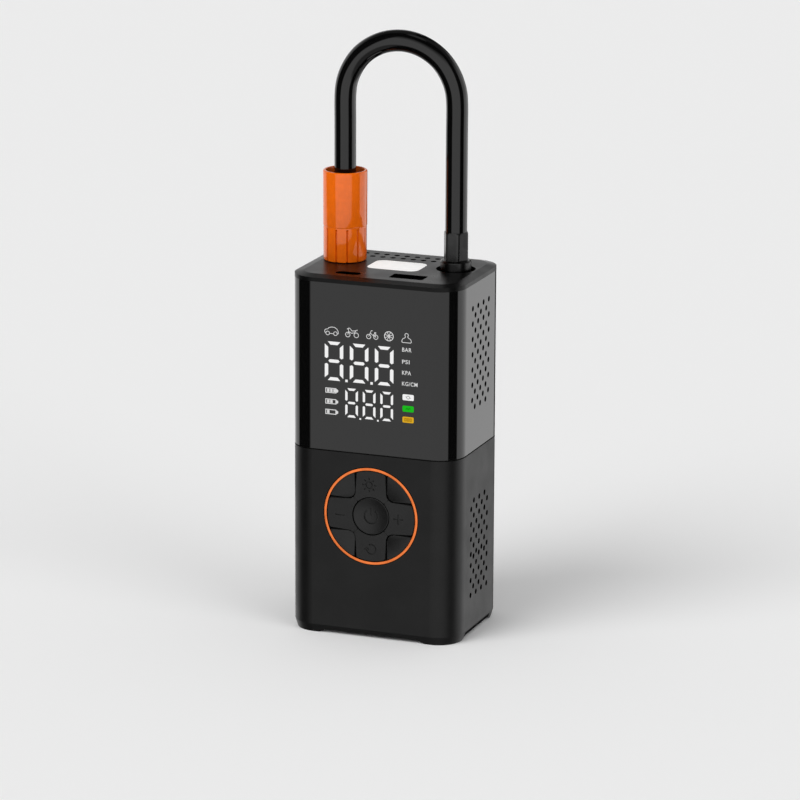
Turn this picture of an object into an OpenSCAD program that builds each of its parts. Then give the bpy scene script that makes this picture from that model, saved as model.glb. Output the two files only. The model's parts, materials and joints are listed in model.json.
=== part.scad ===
// Portable tire inflator: two stacked shells, a cross keypad in front, and a short hose
// that loops over the top from the air outlet to the stored valve chuck.
// Millimetres, +Z up, front towards -Y, origin under the middle of the body.

/* [Body] */
// Width of the body, left to right
body_w = 70; // [66:1:90]
// Depth of the body, front to back
body_d = 53; // [53:1:70]
// Radius of the four upright corners
corner_r = 10.5; // [8:0.5:12]
// Wall of the two shells
wall = 2.2; // [1.8:0.1:2.2]
// Height of the lower housing
lower_h = 74.1; // [73:0.1:80]
// Height of the groove between the two shells
seam_h = 0.5; // [0.4:0.1:1.5]
// How far the groove goes in
seam_depth = 1; // [0.5:0.1:1.4]
// Height of the upper sleeve
sleeve_h = 66.3; // [64:0.1:80]
// How far the lower edge of the body draws in
toe_inset = 1; // [0.4:0.1:1.6]
// Height of the drawn-in lower edge
toe_h = 3.3; // [2:0.1:6]

/* [Feet] */
// Height of the arches between the corner feet
arch_h = 1.3; // [1:0.1:2.4]
// Width of the front and back arches at the ground
arch_w = 44; // [30:1:46]
// Width of the side arches at the ground
arch_d = 31; // [20:1:31]
// Height of the base cover above the ground
base_lift = 2.6; // [2.5:0.1:4]
// Thickness of the base cover
base_t = 2; // [1.6:0.1:3]

/* [Top cover] */
// Height of the upright rim of the top cover
rim_h = 1.6; // [1:0.1:3]
// Height of the bevel round the top plate
bevel_h = 0.75; // [0.4:0.05:1.5]
// Width of the bevel round the top plate
bevel_w = 3.7; // [2:0.1:4]
// Depth of the skirt that locates the cover in the sleeve
skirt_h = 3; // [2:0.1:6]
// Thickness of that skirt
skirt_t = 1.4; // [1:0.1:1.8]

/* [Vents] */
// Diameter of the side vents
vent_d = 2.2; // [1.4:0.1:2.6]
// Height between rows of side vents
vent_row = 3.03; // [2.8:0.01:3.4]
// Distance between side vents in a row
vent_pitch = 6.05; // [5.6:0.05:6.6]
// Place of the side vents behind the middle of the body
vent_y = 0.3; // [-1:0.1:1]
// Height of the top row of the upper vents
upper_vent_z = 131.4; // [126:0.1:133]
// Number of rows of upper vents
upper_vent_rows = 14; // [6:1:15]
// Height of the top row of the lower vents
lower_vent_z = 54.35; // [50:0.05:62]
// Number of rows in the higher group of lower vents
lower_vent_rows = 8; // [4:1:9]
// Number of rows in the group below it
foot_vent_rows = 6; // [2:1:6]
// Diameter of the vents in the top plate
top_vent_d = 2.3; // [1.2:0.1:2.6]
// Distance between the vents in the top plate
top_vent_pitch = 4.24; // [4:0.01:4.4]
// Place of the front row of top vents behind the middle
top_vent_y = 13.5; // [13:0.1:15]
// Distance between the two rows of top vents
top_vent_row = 4.5; // [3.5:0.1:5]

/* [Lamp] */
// Width of the lamp window
lamp_w = 21.3; // [16:0.1:22]
// Depth of the lamp window
lamp_d = 15.3; // [10:0.1:16]
// Corner radius of the lamp window
lamp_r = 3.5; // [2:0.1:5]
// Place of the lamp window behind the middle
lamp_y = 1.35; // [0:0.05:2]

/* [Charging ports] */
// Width of the USB-A cut-out
usb_a_w = 13.8; // [13.6:0.1:15]
// Depth of the USB-A cut-out
usb_a_d = 7; // [6.2:0.1:7]
// Place of the USB-A port to the right
usb_a_x = 10.9; // [9:0.1:12]
// Distance of the USB-A port behind the front face
usb_a_inset = 11.3; // [10.9:0.1:11.7]
// Width of the USB-C cut-out
usb_c_w = 10.2; // [9.4:0.1:11]
// Depth of the USB-C cut-out
usb_c_d = 4.4; // [3.6:0.1:4.6]
// Place of the USB-C port to the right
usb_c_x = -12.9; // [-14:0.1:-10]
// Distance of the USB-C port behind the front face
usb_c_inset = 8.9; // [8.7:0.1:10.5]

/* [Keypad] */
// Distance of the middle of the keypad below the top of the lower housing
key_drop = 24.56; // [21:0.01:26]
// Inner radius of the orange ring
ring_inner_r = 18.3; // [17:0.1:19]
// Width of the orange ring
ring_w = 1.15; // [0.8:0.05:1.4]
// How far the ring stands out of the housing
ring_proud = 0.15; // [0:0.05:0.4]
// Width of the arms of the cross
arm_w = 12.6; // [11:0.1:14]
// Gap beside the arms of the cross
arm_gap = 0.6; // [0.4:0.05:1]
// Corner radius of the fillets between the arms
fillet_r = 2.5; // [1:0.1:4]
// Radius of the round power button
power_r = 7.4; // [6:0.1:8]
// Gap round the power button
power_gap = 0.3; // [0.2:0.05:0.5]
// Depth of the dish in the power button
dish_depth = 1; // [0.4:0.1:1.4]
// Seam between neighbouring keys
mitre_gap = 0.25; // [0.15:0.05:0.5]
// Travel of the keys
key_travel = 0.6; // [0.3:0.05:0.75]
// Distance of the arm keys' middles from the centre
key_reach = 13.2; // [12:0.1:14]

/* [Display] */
// Width of the display module
display_w = 42; // [36:1:46]
// Lower edge of the display module
display_z = 86; // [86:1:90]
// Height of the display module
display_h = 42; // [34:1:42]
// Thickness of the display module
display_t = 3.2; // [2.4:0.1:3.4]

/* [Hose and chuck] */
// Distance of each hose leg from the middle of the body
leg_x = 23; // [22:0.5:24]
// Place of the hose behind the middle of the body
leg_y = 4.7; // [4:0.1:6]
// Outer diameter of the hose
hose_d = 8.5; // [7:0.1:8.6]
// Outer diameter of the chuck
chuck_d = 17.3; // [16.6:0.1:18]
// Height of the chuck
chuck_h = 35.5; // [33:0.1:40]
// Height of the fluted grip of the chuck
grip_h = 13.7; // [10:0.1:14]
// Number of flutes round the grip
flutes = 12; // [6:1:16]
// Depth of the cup at the top of the chuck
cup_h = 10.95; // [8:0.05:14]
// Wall of the cup at the top of the chuck
cup_wall = 1.1; // [0.8:0.1:1.3]
// Bore of the valve socket
valve_d = 7.8; // [7.6:0.1:8]
// Distance across the flats of the hose fitting
hex_af = 8.7; // [8.6:0.1:9]
// Height of the hexagon of the hose fitting
hex_h = 11; // [8:0.1:11]
// Diameter of the flange of the hose fitting
flange_d = 12; // [10:0.1:13]
// Height of the flange of the hose fitting
flange_h = 5.6; // [3:0.1:6]
// Diameter of the recess round the hose fitting
recess_d = 15.4; // [14.2:0.1:15.6]

/* [Pump] */
// Place of the pump's middle plane behind the middle of the body
pump_y = 2; // [1:0.1:2.5]
// Height of the motor's axis
motor_z = 19.5; // [18.6:0.1:19.5]
// Diameter of the motor
motor_d = 24.4; // [22:0.1:24.4]
// Length of the motor
motor_l = 29; // [24:0.5:29.5]
// Size of the gear teeth (pitch diameter over teeth)
gear_module = 0.8; // [0.7:0.05:0.8]
// Teeth of the motor pinion
pinion_teeth = 12; // [10:2:14]
// Teeth of the crank gear
crank_teeth = 36; // [32:4:36]
// Width of the crank gear
gear_t = 4; // [3:0.5:4.5]
// Radius of the crank
crank_r = 5; // [3:0.5:5]
// Length of the piston rod, crank pin to piston
rod_l = 24; // [23.5:0.5:26]
// Bore of the cylinder
bore_d = 20; // [18:0.5:20]
// Wall of the cylinder
bore_wall = 2.2; // [1.8:0.1:2.4]
// Height of the piston
piston_h = 7; // [5:0.5:7]
// Height of the cylinder head
head_h = 8; // [6:0.5:10]
// Outer diameter of the air line
line_d = 5; // [4:0.1:5.4]

/* [Battery] */
// Diameter of a cell
cell_d = 18.4; // [17.8:0.1:18.4]
// Length of a cell
cell_l = 65; // [60:0.5:65]
// Height of the bottom of the battery holder
holder_z = 33; // [32.5:0.5:34]
// Wall of the battery holder
holder_wall = 1.2; // [1:0.1:1.2]

/* [Fits] */
// Clearance between a fixed piece and the place it sits in
fit_gap = 0.1; // [0.05:0.05:0.2]
// Clearance of a turning or sliding piece in its bore
run_gap = 0.05; // [0.03:0.01:0.08]
// Clearance of the piston in its cylinder
piston_gap = 0.08; // [0.04:0.01:0.1]
// Gap under the stored chuck
stow_gap = 0.2; // [0.1:0.05:0.3]
// Clearance between meshing gear teeth, along the pitch circle
backlash = 0.16; // [0.08:0.02:0.3]

/* [Boards and screws] */
// Thickness of the circuit boards
board_t = 1.6; // [1:0.1:1.6]
// Diameter of the screws
screw_d = 2.4; // [1.6:0.1:2.6]
// Diameter of the screw heads
screw_head_d = 4.6; // [3.6:0.1:4.8]

/* [Hidden] */
$fn = 48;
eps = 0.01;

// Colours
matte_black = [0.13, 0.13, 0.14];
gloss_black = [0.2, 0.2, 0.21];
signal_orange = [0.88, 0.4, 0.1];
frost_white = [0.94, 0.94, 0.92];
bright_metal = [0.75, 0.76, 0.78];
dark_metal = [0.3, 0.3, 0.31];
brass_yellow = [0.78, 0.62, 0.3];
board_green = [0.1, 0.32, 0.2];
inner_grey = [0.4, 0.41, 0.43];
cell_blue = [0.2, 0.4, 0.62];

// Heights of the main parts, bottom to top
base_top = base_lift + base_t;
key_z = lower_h - key_drop;
sleeve_z = lower_h + seam_h;
cover_z = sleeve_z + sleeve_h;
plate_z = cover_z + rim_h + bevel_h;
plate_t = plate_z - cover_z;

// Joining frame inside the shells
spigot_h = 7;
spigot_t = 1.6;
spigot_x = body_w / 2 - wall - fit_gap - spigot_t;
spigot_y = body_d / 2 - wall - fit_gap - spigot_t;

// Screw bosses in the corners of the lower housing
boss_r = 4;
boss_h = 8;
boss_reach = (corner_r - wall - boss_r + 1) / sqrt(2);
boss_x = body_w / 2 - corner_r + boss_reach;
boss_y = body_d / 2 - corner_r + boss_reach;
screw_head_h = 1.1;
screw_slot = 0.6;

// Keypad depths, measured inwards from the front face
front_gap = 0.1;
bezel_depth = 3.2;
bezel_flange_w = 2;
key_depth = 3.4;
guide_depth = 4.6;
guide_t = 0.8;
stem_r = 1.5;
barb_w = 0.5;
barb_depth = guide_depth + guide_t + fit_gap;
barb_h = 0.6;
stem_end = barb_depth + barb_h;
switch_tip = stem_end + key_travel + fit_gap;
switch_tip_h = 0.2;
switch_tip_r = 1.2;
switch_face = switch_tip + switch_tip_h;
switch_size = 5;
switch_h = 1;
key_board_depth = switch_face + switch_h;
key_board_t = 1.2;
key_board_w = 34;
guide_edge = 1;
guide_post_r = 1.5;
guide_post_inset = 4.5;
ring_outer_r = ring_inner_r + ring_w;
ring_depth = 1;
bezel_r = ring_outer_r + fit_gap;
arm_end_r = ring_inner_r - 0.3;

// Notch in the joining frame that the keypad reaches into
notch_w = 2 * (bezel_r + bezel_flange_w + 0.3);
notch_top = key_z + notch_w / 2;

// Display in its pocket behind the front of the sleeve
pocket_depth = 1.2;
display_front = wall - pocket_depth + fit_gap;
display_back = display_front + display_t;

// Boards under the top cover
lamp_gap = 0.1;
lens_t = plate_t - 0.05;
lens_flange = 1.2;
lens_flange_t = 1;
lamp_drop = 2.4;
lamp_board_w = lamp_w + 4;
lamp_board_d = lamp_d + 10;
port_drop = 15.3;
port_board_z = cover_z - port_drop - board_t;
port_board_w = 56;
port_board_d = 11.3;
port_board_inset = 6.2;
port_post_x = 25.5;
port_post_y = 13.5 - body_d / 2;
port_post_r = 2.4;
lamp_post_x = 9;
lamp_post_inset = 1.8;
lamp_post_r = 1.5;
usb_a_y = usb_a_inset - body_d / 2;
usb_c_y = usb_c_inset - body_d / 2;
usb_recess = 1;
usb_metal = 0.35;
usb_base = 2;
usb_a_shell = [13.1, 5.7];
usb_a_tongue = [11.1, 1.8];
usb_a_tongue_y = 1.1;
usb_a_tongue_drop = 2.3;
usb_c_shell = [8.9, 3.2];
usb_c_tongue = [6.7, 0.7];
usb_c_tongue_drop = 1;

socket_foot = port_board_z + board_t;
socket_l = plate_z - usb_recess - socket_foot;

// Air outlet under the hose fitting
socket_flange_d = 16.4;
socket_flange_t = 2;
socket_d = 12;
socket_h = 10;
socket_rise = 0.5;
socket_z = cover_z + socket_rise;
thread_r = 3.6;
thread_h = 7;
spout_r = 1.35;
spout_h = 5;
nipple_r = 3.2;
nipple_h = 1;
air_bore_r = 0.8;
outlet_end = cover_z - socket_flange_t - socket_h;

// Chuck, stored upright on its post
chuck_z = plate_z + stow_gap;
chuck_top = chuck_z + chuck_h;
hose_seat_z = chuck_top - cup_h;
cup_r = chuck_d / 2 - cup_wall;
collar_h = 4;
journal_r = 5.1;
journal_h = 6;
skirt_r = 6.2;
skirt_gap = 0.2;
core_bottom = chuck_z + 3;
journal_top = hose_seat_z - collar_h;
journal_bottom = journal_top - journal_h;
grip_bore_r = skirt_r + 0.3;
valve_depth = journal_bottom - core_bottom - 2;
seal_t = 1.6;
post_flange_d = 12;
post_flange_t = 1.6;
seal_bottom = core_bottom + valve_depth - seal_t;

// Hose fitting
fitting_z = socket_z;
hex_z = fitting_z + flange_h;

// Pump; distances along X start at the face of the pump frame that carries the motor
frame_t = 3;
frame_half = 15;
foot_w = 11;
web_w = 11;
web_h = 8;
web_t = 2;
gear_x = frame_t + 1.4;
rod_x = gear_x + gear_t + 1.5;
rod_t = 4;
rod_w = 7;
bore_x = rod_x + rod_t / 2;
pinion_r = gear_module * pinion_teeth / 2;
crank_gear_r = gear_module * crank_teeth / 2;
crank_z = motor_z + pinion_r + crank_gear_r;
crank_shaft_r = 3;
bearing_r = 5.5;
bearing_l = 7;
pin_z = crank_z + crank_r;
piston_z = pin_z + rod_l;
big_end_r = 4.6;
crank_pin_r = 1.6;
crank_pin_gap = 0.3;
bore_r = bore_d / 2;
cylinder_r = bore_r + bore_wall;
shelf_t = 2;
shelf_lip = 2.5;
low_gap = 0.7;
high_gap = 1.3;
shelf_top = piston_z - 2 * crank_r - low_gap;
cylinder_h = 2 * crank_r + piston_h + low_gap + high_gap;
lug_r = 2.6;
fin_w = 1.4;
fin_t = 1.2;
head_z = shelf_top + cylinder_h;
head_top = head_z + head_h;
motor_boss_r = 3.5;
motor_boss_h = 2;
motor_shaft_r = 1.15;
motor_screw_reach = 8;
motor_screw_bite = 3;
motor_screw_head_h = 1;
pinion_margin = 0.4;
pinion_shaft_bite = 5;
motor_screw_r = 1.2;
lug_wall = 0.5;
lug_reach = cylinder_r + lug_wall + motor_screw_r;
outlet_boss_r = 3.6;
line_r = line_d / 2;
line_bore_r = spout_r + run_gap;

// Battery, against the left and back of the joining frame
cell_r = cell_d / 2;
cell_pitch = cell_d + 0.1;
holder_left = -spigot_x + 0.2;
holder_back = spigot_y - 0.2;
cell_x = holder_left + holder_wall + fit_gap + cell_r;
back_cell_y = holder_back - holder_wall - fit_gap - cell_r;
front_cell_y = back_cell_y - cell_pitch;
holder_h = cell_l + 2.6;
link_w = 4;
link_t = 0.2;
cell_cap_r = 2.8;
cell_cap_h = 0.5;

// Main board, against the back of the joining frame
main_board_x = -8;
main_board_w = 32;
main_board_z = lower_h - 13;
main_board_h = 60;
main_board_y = spigot_y - fit_gap - board_t;

// Route of the hose: up from the fitting, over in a half circle, down into the chuck
hose_route = [
    [23, 4.7, 158], [23, 4.7, 170], [23, 4.7, 183], [23, 4.7, 196], [23, 4.7, 208],
    [22.2, 4.7, 214], [19.9, 4.7, 219.5], [16.3, 4.7, 224.3], [11.5, 4.7, 227.9], [6, 4.7, 230.2],
    [0, 4.7, 231],
    [-6, 4.7, 230.2], [-11.5, 4.7, 227.9], [-16.3, 4.7, 224.3], [-19.9, 4.7, 219.5], [-22.2, 4.7, 214],
    [-23, 4.7, 208], [-23, 4.7, 198], [-23, 4.7, 188], [-23, 4.7, 178], [-23, 4.7, 168]
];

// ---- Shared shapes ----

// Rounded rectangle, drawn flat
module outline(w, d, r) {
    square([w - 2 * r, d], center = true);
    square([w, d - 2 * r], center = true);
    for (x = [-1, 1], y = [-1, 1])
        translate([x * (w / 2 - r), y * (d / 2 - r)])
            circle(r);
}

// Upright block with rounded corners, from z up to z + h, drawn in from the body by inset
module body_block(inset, z, h) {
    translate([0, 0, z])
        linear_extrude(h)
            outline(body_w - 2 * inset, body_d - 2 * inset, max(corner_r - inset, 1));
}

// Block with the body's rounded corners and a side profile of [inset, height] points
module profiled_body(profile) {
    last = len(profile) - 1;
    low = profile[0][1];
    high = profile[last][1];
    flat_w = body_w / 2 - corner_r;
    flat_d = body_d / 2 - corner_r;
    for (turn = [[1, 1, 0], [-1, 1, 90], [-1, -1, 180], [1, -1, 270]])
        translate([turn[0] * flat_w, turn[1] * flat_d, 0])
            rotate([0, 0, turn[2]])
                rotate_extrude(angle = 90)
                    polygon(concat([[0, low]], [for (p = profile) [corner_r - p[0], p[1]]], [[0, high]]));
    rotate([90, 0, 90])
        translate([0, 0, -flat_w])
            linear_extrude(2 * flat_w)
                polygon(concat(
                    [for (p = profile) [body_d / 2 - p[0], p[1]]],
                    [for (i = [last:-1:0]) [profile[i][0] - body_d / 2, profile[i][1]]]
                ));
    for (side = [0, 180])
        rotate([0, 0, side])
            translate([0, flat_d, 0])
                rotate([90, 0, 0])
                    linear_extrude(2 * flat_d)
                        polygon(concat(
                            [[flat_w, low]],
                            [for (p = profile) [body_w / 2 - p[0], p[1]]],
                            [[flat_w, high]]
                        ));
}

// Round bar along X, centred on [y, z], from x for a length
module bar_x(x, y, z, r, l) {
    translate([x, y, z])
        rotate([0, 90, 0])
            cylinder(h = l, r = r);
}

// Upright round bar
module post(x, y, z, r, h) {
    translate([x, y, z])
        cylinder(h = h, r = r);
}

// Block given by its low corner and its size
module block(low, size) {
    translate(low)
        cube(size);
}

// Block centred in X and Y, standing on z
module pad(x, y, z, w, d, h) {
    block([x - w / 2, y - d / 2, z], [w, d, h]);
}

// The four upright corners of a rectangle
module at_corners(x, y) {
    for (sx = [-1, 1], sy = [-1, 1])
        translate([sx * x, sy * y, 0])
            children();
}

// ---- Shells ----

// Lattice of vents through both side walls; rows alternate between count and one fewer
module side_vents(top_z, rows, first_count) {
    for (row = [0:rows - 1]) {
        count = first_count + (first_count == 4 ? -1 : 1) * (row % 2);
        for (i = [0:count - 1])
            bar_x(-body_w, vent_y + (i - (count - 1) / 2) * vent_pitch, top_z - row * vent_row,
                vent_d / 2, 2 * body_w);
    }
}

// Low arch between two feet, cut along Y
module foot_arch(span, length) {
    rotate([90, 0, 0])
        translate([0, 0, -length / 2])
            linear_extrude(length)
                polygon([
                    [-span / 2, -1], [-span / 2, 0], [-span / 2 + 2 * arch_h, arch_h],
                    [span / 2 - 2 * arch_h, arch_h], [span / 2, 0], [span / 2, -1]
                ]);
}

module lower_shell() {
    difference() {
        profiled_body([[toe_inset, 0], [0, toe_h], [0, lower_h]]);
        body_block(wall, -1, lower_h + 2);
    }
}

module screw_bosses() {
    intersection() {
        at_corners(boss_x, boss_y)
            post(0, 0, base_top, boss_r, boss_h);
        body_block(wall - eps, base_top, boss_h);
    }
}

module lower_housing() {
    color(matte_black)
        difference() {
            union() {
                lower_shell();
                screw_bosses();
            }
            at_corners(boss_x, boss_y)
                post(0, 0, base_top - 1, screw_d / 2 + run_gap, boss_h);
            foot_arch(arch_w, 2 * body_d);
            rotate([0, 0, 90])
                foot_arch(arch_d, 2 * body_w);
            at_keypad()
                translate([0, 0, -wall - 1])
                    cylinder(h = wall + 2, r = bezel_r + fit_gap);
            side_vents(lower_vent_z, lower_vent_rows, 3);
            side_vents(lower_vent_z - (lower_vent_rows - 0.5) * vent_row, foot_vent_rows, 3);
        }
}

module base_cover() {
    rib_x = 12;
    rib_h = 0.5;
    rib_size = [1.6, 30];
    color(matte_black)
        difference() {
            union() {
                body_block(wall + fit_gap, base_lift, base_t);
                for (x = [-1, 1])
                    pad(x * rib_x, 0, base_lift - rib_h, rib_size[0], rib_size[1], rib_h + eps);
            }
            at_corners(boss_x, boss_y)
                post(0, 0, base_lift - 1, screw_d / 2 + fit_gap, base_t + 2);
            at_corners(boss_x, boss_y)
                post(0, 0, base_lift - 1, screw_head_d / 2 + fit_gap, 1 + screw_head_h);
        }
}

module base_screws() {
    slot_l = 2.6;
    spare = 3;
    color(dark_metal)
        at_corners(boss_x, boss_y)
            difference() {
                union() {
                    post(0, 0, base_lift, screw_head_d / 2, screw_head_h);
                    post(0, 0, base_lift + screw_head_h - eps, screw_d / 2, base_t + boss_h - spare);
                }
                pad(0, 0, base_lift - 1, slot_l, screw_slot, 1 + screw_slot);
                pad(0, 0, base_lift - 1, screw_slot, slot_l, 1 + screw_slot);
            }
}

module joining_frame() {
    color(matte_black)
        difference() {
            union() {
                body_block(seam_depth, lower_h, seam_h);
                body_block(wall + fit_gap, lower_h - spigot_h, 2 * spigot_h + seam_h);
            }
            body_block(wall + fit_gap + spigot_t, lower_h - spigot_h - 1, 2 * spigot_h + seam_h + 2);
            block([-notch_w / 2, -body_d / 2, lower_h - spigot_h - 1],
                [notch_w, body_d / 2, notch_top - lower_h + spigot_h + 1]);
        }
}

module upper_sleeve() {
    color(gloss_black)
        difference() {
            body_block(0, sleeve_z, sleeve_h);
            body_block(wall, sleeve_z - 1, sleeve_h + 2);
            block([-display_w / 2 - fit_gap, -body_d / 2 + wall - pocket_depth, display_z - fit_gap],
                [display_w + 2 * fit_gap, wall, display_h + 2 * fit_gap]);
            side_vents(upper_vent_z, upper_vent_rows, 4);
        }
}

// ---- Top cover and what it carries ----

// Vents in two rows across the top plate
module top_vents() {
    for (row = [0, 1], i = [0:7 + 2 * row])
        post((i - 3.5 - row) * top_vent_pitch, top_vent_y + row * top_vent_row, cover_z - 1,
            top_vent_d / 2, plate_t + 2);
}

module cover_plate() {
    profiled_body([[0, cover_z], [0, cover_z + rim_h], [bevel_w, plate_z]]);
    difference() {
        body_block(wall + fit_gap, cover_z - skirt_h, skirt_h + eps);
        body_block(wall + fit_gap + skirt_t, cover_z - skirt_h - 1, skirt_h + 2);
    }
    for (x = [-1, 1])
        post(x * port_post_x, port_post_y, port_board_z + board_t, port_post_r, port_drop + eps);
    translate([0, lamp_y, 0])
        at_corners(lamp_post_x, lamp_board_d / 2 - lamp_post_inset)
            post(0, 0, cover_z - lamp_drop, lamp_post_r, lamp_drop + eps);
}

module top_cover() {
    color(matte_black)
        difference() {
            cover_plate();
            top_vents();
            translate([0, lamp_y, cover_z - 1])
                linear_extrude(plate_t + 2)
                    outline(lamp_w, lamp_d, lamp_r);
            translate([usb_a_x, usb_a_y, cover_z - 1])
                linear_extrude(plate_t + 2)
                    outline(usb_a_w, usb_a_d, 0.8);
            translate([usb_c_x, usb_c_y, cover_z - 1])
                linear_extrude(plate_t + 2)
                    outline(usb_c_w, usb_c_d, usb_c_d / 2 - eps);
            post(leg_x, leg_y, cover_z - 1, recess_d / 2, plate_t + 2);
            post(-leg_x, leg_y, cover_z - 1, valve_d / 2, plate_t + 2);
        }
}

module lamp_lens() {
    color(frost_white) {
        translate([0, lamp_y, cover_z - eps])
            linear_extrude(lens_t)
                outline(lamp_w - 2 * lamp_gap, lamp_d - 2 * lamp_gap, lamp_r - lamp_gap);
        translate([0, lamp_y, cover_z - lens_flange_t])
            linear_extrude(lens_flange_t)
                outline(lamp_w + 2 * lens_flange, lamp_d + 2 * lens_flange, lamp_r);
    }
}

module lamp_board() {
    z = cover_z - lamp_drop;
    led_size = 2.8;
    led_t = 0.7;
    color(board_green)
        pad(0, lamp_y, z - board_t, lamp_board_w, lamp_board_d, board_t);
    color(frost_white)
        for (x = [-2:2], y = [-1, 1])
            pad(x * lamp_w / 6, lamp_y + y * lamp_d / 5, z, led_size, led_size, led_t);
}

// Metal shell of a socket, standing on the port board and open at the top
module socket_shell(x, y, size, r) {
    translate([x, y, socket_foot])
        difference() {
            linear_extrude(socket_l)
                outline(size[0], size[1], r);
            translate([0, 0, usb_base])
                linear_extrude(socket_l)
                    outline(size[0] - 2 * usb_metal, size[1] - 2 * usb_metal, r - usb_metal);
        }
}

// Contact tongue inside a socket, its end below the mouth by drop
module socket_tongue(x, y, size, drop) {
    pad(x, y, socket_foot + usb_base, size[0], size[1], socket_l - usb_base - drop);
}

module usb_a_socket() {
    color(bright_metal)
        socket_shell(usb_a_x, usb_a_y, usb_a_shell, 0.6);
    color(frost_white)
        socket_tongue(usb_a_x, usb_a_y + usb_a_tongue_y, usb_a_tongue, usb_a_tongue_drop);
}

module usb_c_socket() {
    color(bright_metal)
        socket_shell(usb_c_x, usb_c_y, usb_c_shell, 1.5);
    color(matte_black)
        socket_tongue(usb_c_x, usb_c_y, usb_c_tongue, usb_c_tongue_drop);
}

module port_board() {
    color(board_green)
        block([-port_board_w / 2, port_board_inset - body_d / 2, port_board_z],
            [port_board_w, port_board_d, board_t]);
}

module storage_post() {
    color(matte_black) {
        post(-leg_x, leg_y, cover_z - post_flange_t, post_flange_d / 2, post_flange_t);
        post(-leg_x, leg_y, cover_z - eps, valve_d / 2 - run_gap, seal_bottom - stow_gap - cover_z);
    }
}

module outlet_socket() {
    color(brass_yellow)
        difference() {
            union() {
                post(leg_x, leg_y, cover_z - socket_flange_t, socket_flange_d / 2, socket_flange_t);
                post(leg_x, leg_y, cover_z - eps, recess_d / 2 - fit_gap, socket_rise + eps);
                post(leg_x, leg_y, outlet_end, socket_d / 2, socket_h + eps);
                post(leg_x, leg_y, outlet_end - nipple_h, nipple_r, nipple_h + eps);
                post(leg_x, leg_y, outlet_end - nipple_h - spout_h, spout_r, spout_h + eps);
            }
            post(leg_x, leg_y, socket_z - thread_h, thread_r, thread_h + 1);
            post(leg_x, leg_y, outlet_end - spout_h - 2, air_bore_r, socket_h + spout_h + 2);
        }
}

// ---- Keypad, drawn flat with its front face at height 0 ----

module at_keypad() {
    translate([0, -body_d / 2, key_z])
        rotate([90, 0, 0])
            children();
}

// Flat slab of the keypad between two depths below the front face
module slab(near, far) {
    translate([0, 0, -far])
        linear_extrude(far - near)
            children();
}

// The four fillets between the arms, with the arms' half width given
module fillets(half, r, reach) {
    for (turn = [0:90:270])
        rotate(turn)
            intersection() {
                circle(reach);
                union() {
                    translate([half + r, half])
                        square(2 * reach);
                    translate([half, half + r])
                        square(2 * reach);
                    translate([half + r, half + r])
                        circle(r);
                }
            }
}

module keypad_bezel() {
    color(matte_black)
        at_keypad() {
            slab(front_gap / 2, ring_depth + eps)
                fillets(arm_w / 2 + arm_gap, fillet_r, ring_inner_r - fit_gap);
            slab(ring_depth, bezel_depth)
                fillets(arm_w / 2 + arm_gap, fillet_r, ring_inner_r + eps);
            slab(ring_depth, bezel_depth)
                difference() {
                    circle(bezel_r);
                    circle(ring_inner_r);
                }
            slab(wall, bezel_depth)
                difference() {
                    circle(bezel_r + bezel_flange_w);
                    circle(bezel_r - eps);
                }
        }
}

module button_ring() {
    color(signal_orange)
        at_keypad()
            slab(-ring_proud, ring_depth)
                difference() {
                    circle(ring_outer_r);
                    circle(ring_inner_r);
                }
}

// Guide stem of a key, with the snap barb behind the guide plate
module key_stem() {
    slab(key_depth - eps, stem_end)
        circle(stem_r);
    slab(barb_depth, stem_end)
        circle(stem_r + barb_w);
}

module power_button() {
    dish_r = power_r - 0.3;
    ball_r = (dish_r * dish_r + dish_depth * dish_depth) / (2 * dish_depth);
    color(matte_black)
        at_keypad() {
            difference() {
                slab(front_gap, key_depth)
                    circle(power_r);
                translate([0, 0, ball_r - dish_depth - front_gap])
                    sphere(ball_r, $fn = 96);
            }
            key_stem();
        }
}

// One arm of the cross; turn 0 points up
module arm_key(turn) {
    mitre = mitre_gap / sqrt(2);
    color(matte_black)
        at_keypad()
            rotate(turn) {
                slab(front_gap, key_depth)
                    intersection() {
                        difference() {
                            circle(arm_end_r);
                            circle(power_r + power_gap);
                            fillets(arm_w / 2, fillet_r + arm_gap, 2 * arm_end_r);
                        }
                        polygon([
                            [0, mitre], [arm_end_r, arm_end_r + mitre], [-arm_end_r, arm_end_r + mitre]
                        ]);
                    }
                translate([0, key_reach, 0])
                    key_stem();
            }
}

module light_key() {
    arm_key(0);
}

module minus_key() {
    arm_key(90);
}

module mode_key() {
    arm_key(180);
}

module plus_key() {
    arm_key(270);
}

// The centre and the four arm positions of the keypad
module at_keys() {
    children();
    for (turn = [0:90:270])
        rotate(turn)
            translate([0, key_reach, 0])
                children();
}

module key_guide() {
    post_reach = key_board_w / 2 - guide_post_inset;
    color(inner_grey)
        at_keypad() {
            difference() {
                slab(guide_depth, guide_depth + guide_t)
                    circle(bezel_r + guide_edge);
                at_keys()
                    slab(0, 2 * guide_depth)
                        circle(stem_r + run_gap);
            }
            slab(bezel_depth, guide_depth + eps)
                difference() {
                    circle(bezel_r + guide_edge);
                    circle(arm_end_r + arm_gap);
                }
            at_corners(post_reach, post_reach)
                slab(guide_depth + guide_t - eps, key_board_depth)
                    circle(guide_post_r);
        }
}

module key_board() {
    at_keypad() {
        color(board_green)
            slab(key_board_depth, key_board_depth + key_board_t)
                square(key_board_w, center = true);
        color(dark_metal)
            at_keys()
                slab(switch_face, key_board_depth + eps)
                    square(switch_size, center = true);
        color(frost_white)
            at_keys()
                slab(switch_tip, switch_face + eps)
                    circle(switch_tip_r);
    }
}

// ---- Display and boards ----

module display_module() {
    color(frost_white)
        block([-display_w / 2, -body_d / 2 + display_front, display_z], [display_w, display_t, display_h]);
}

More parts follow.
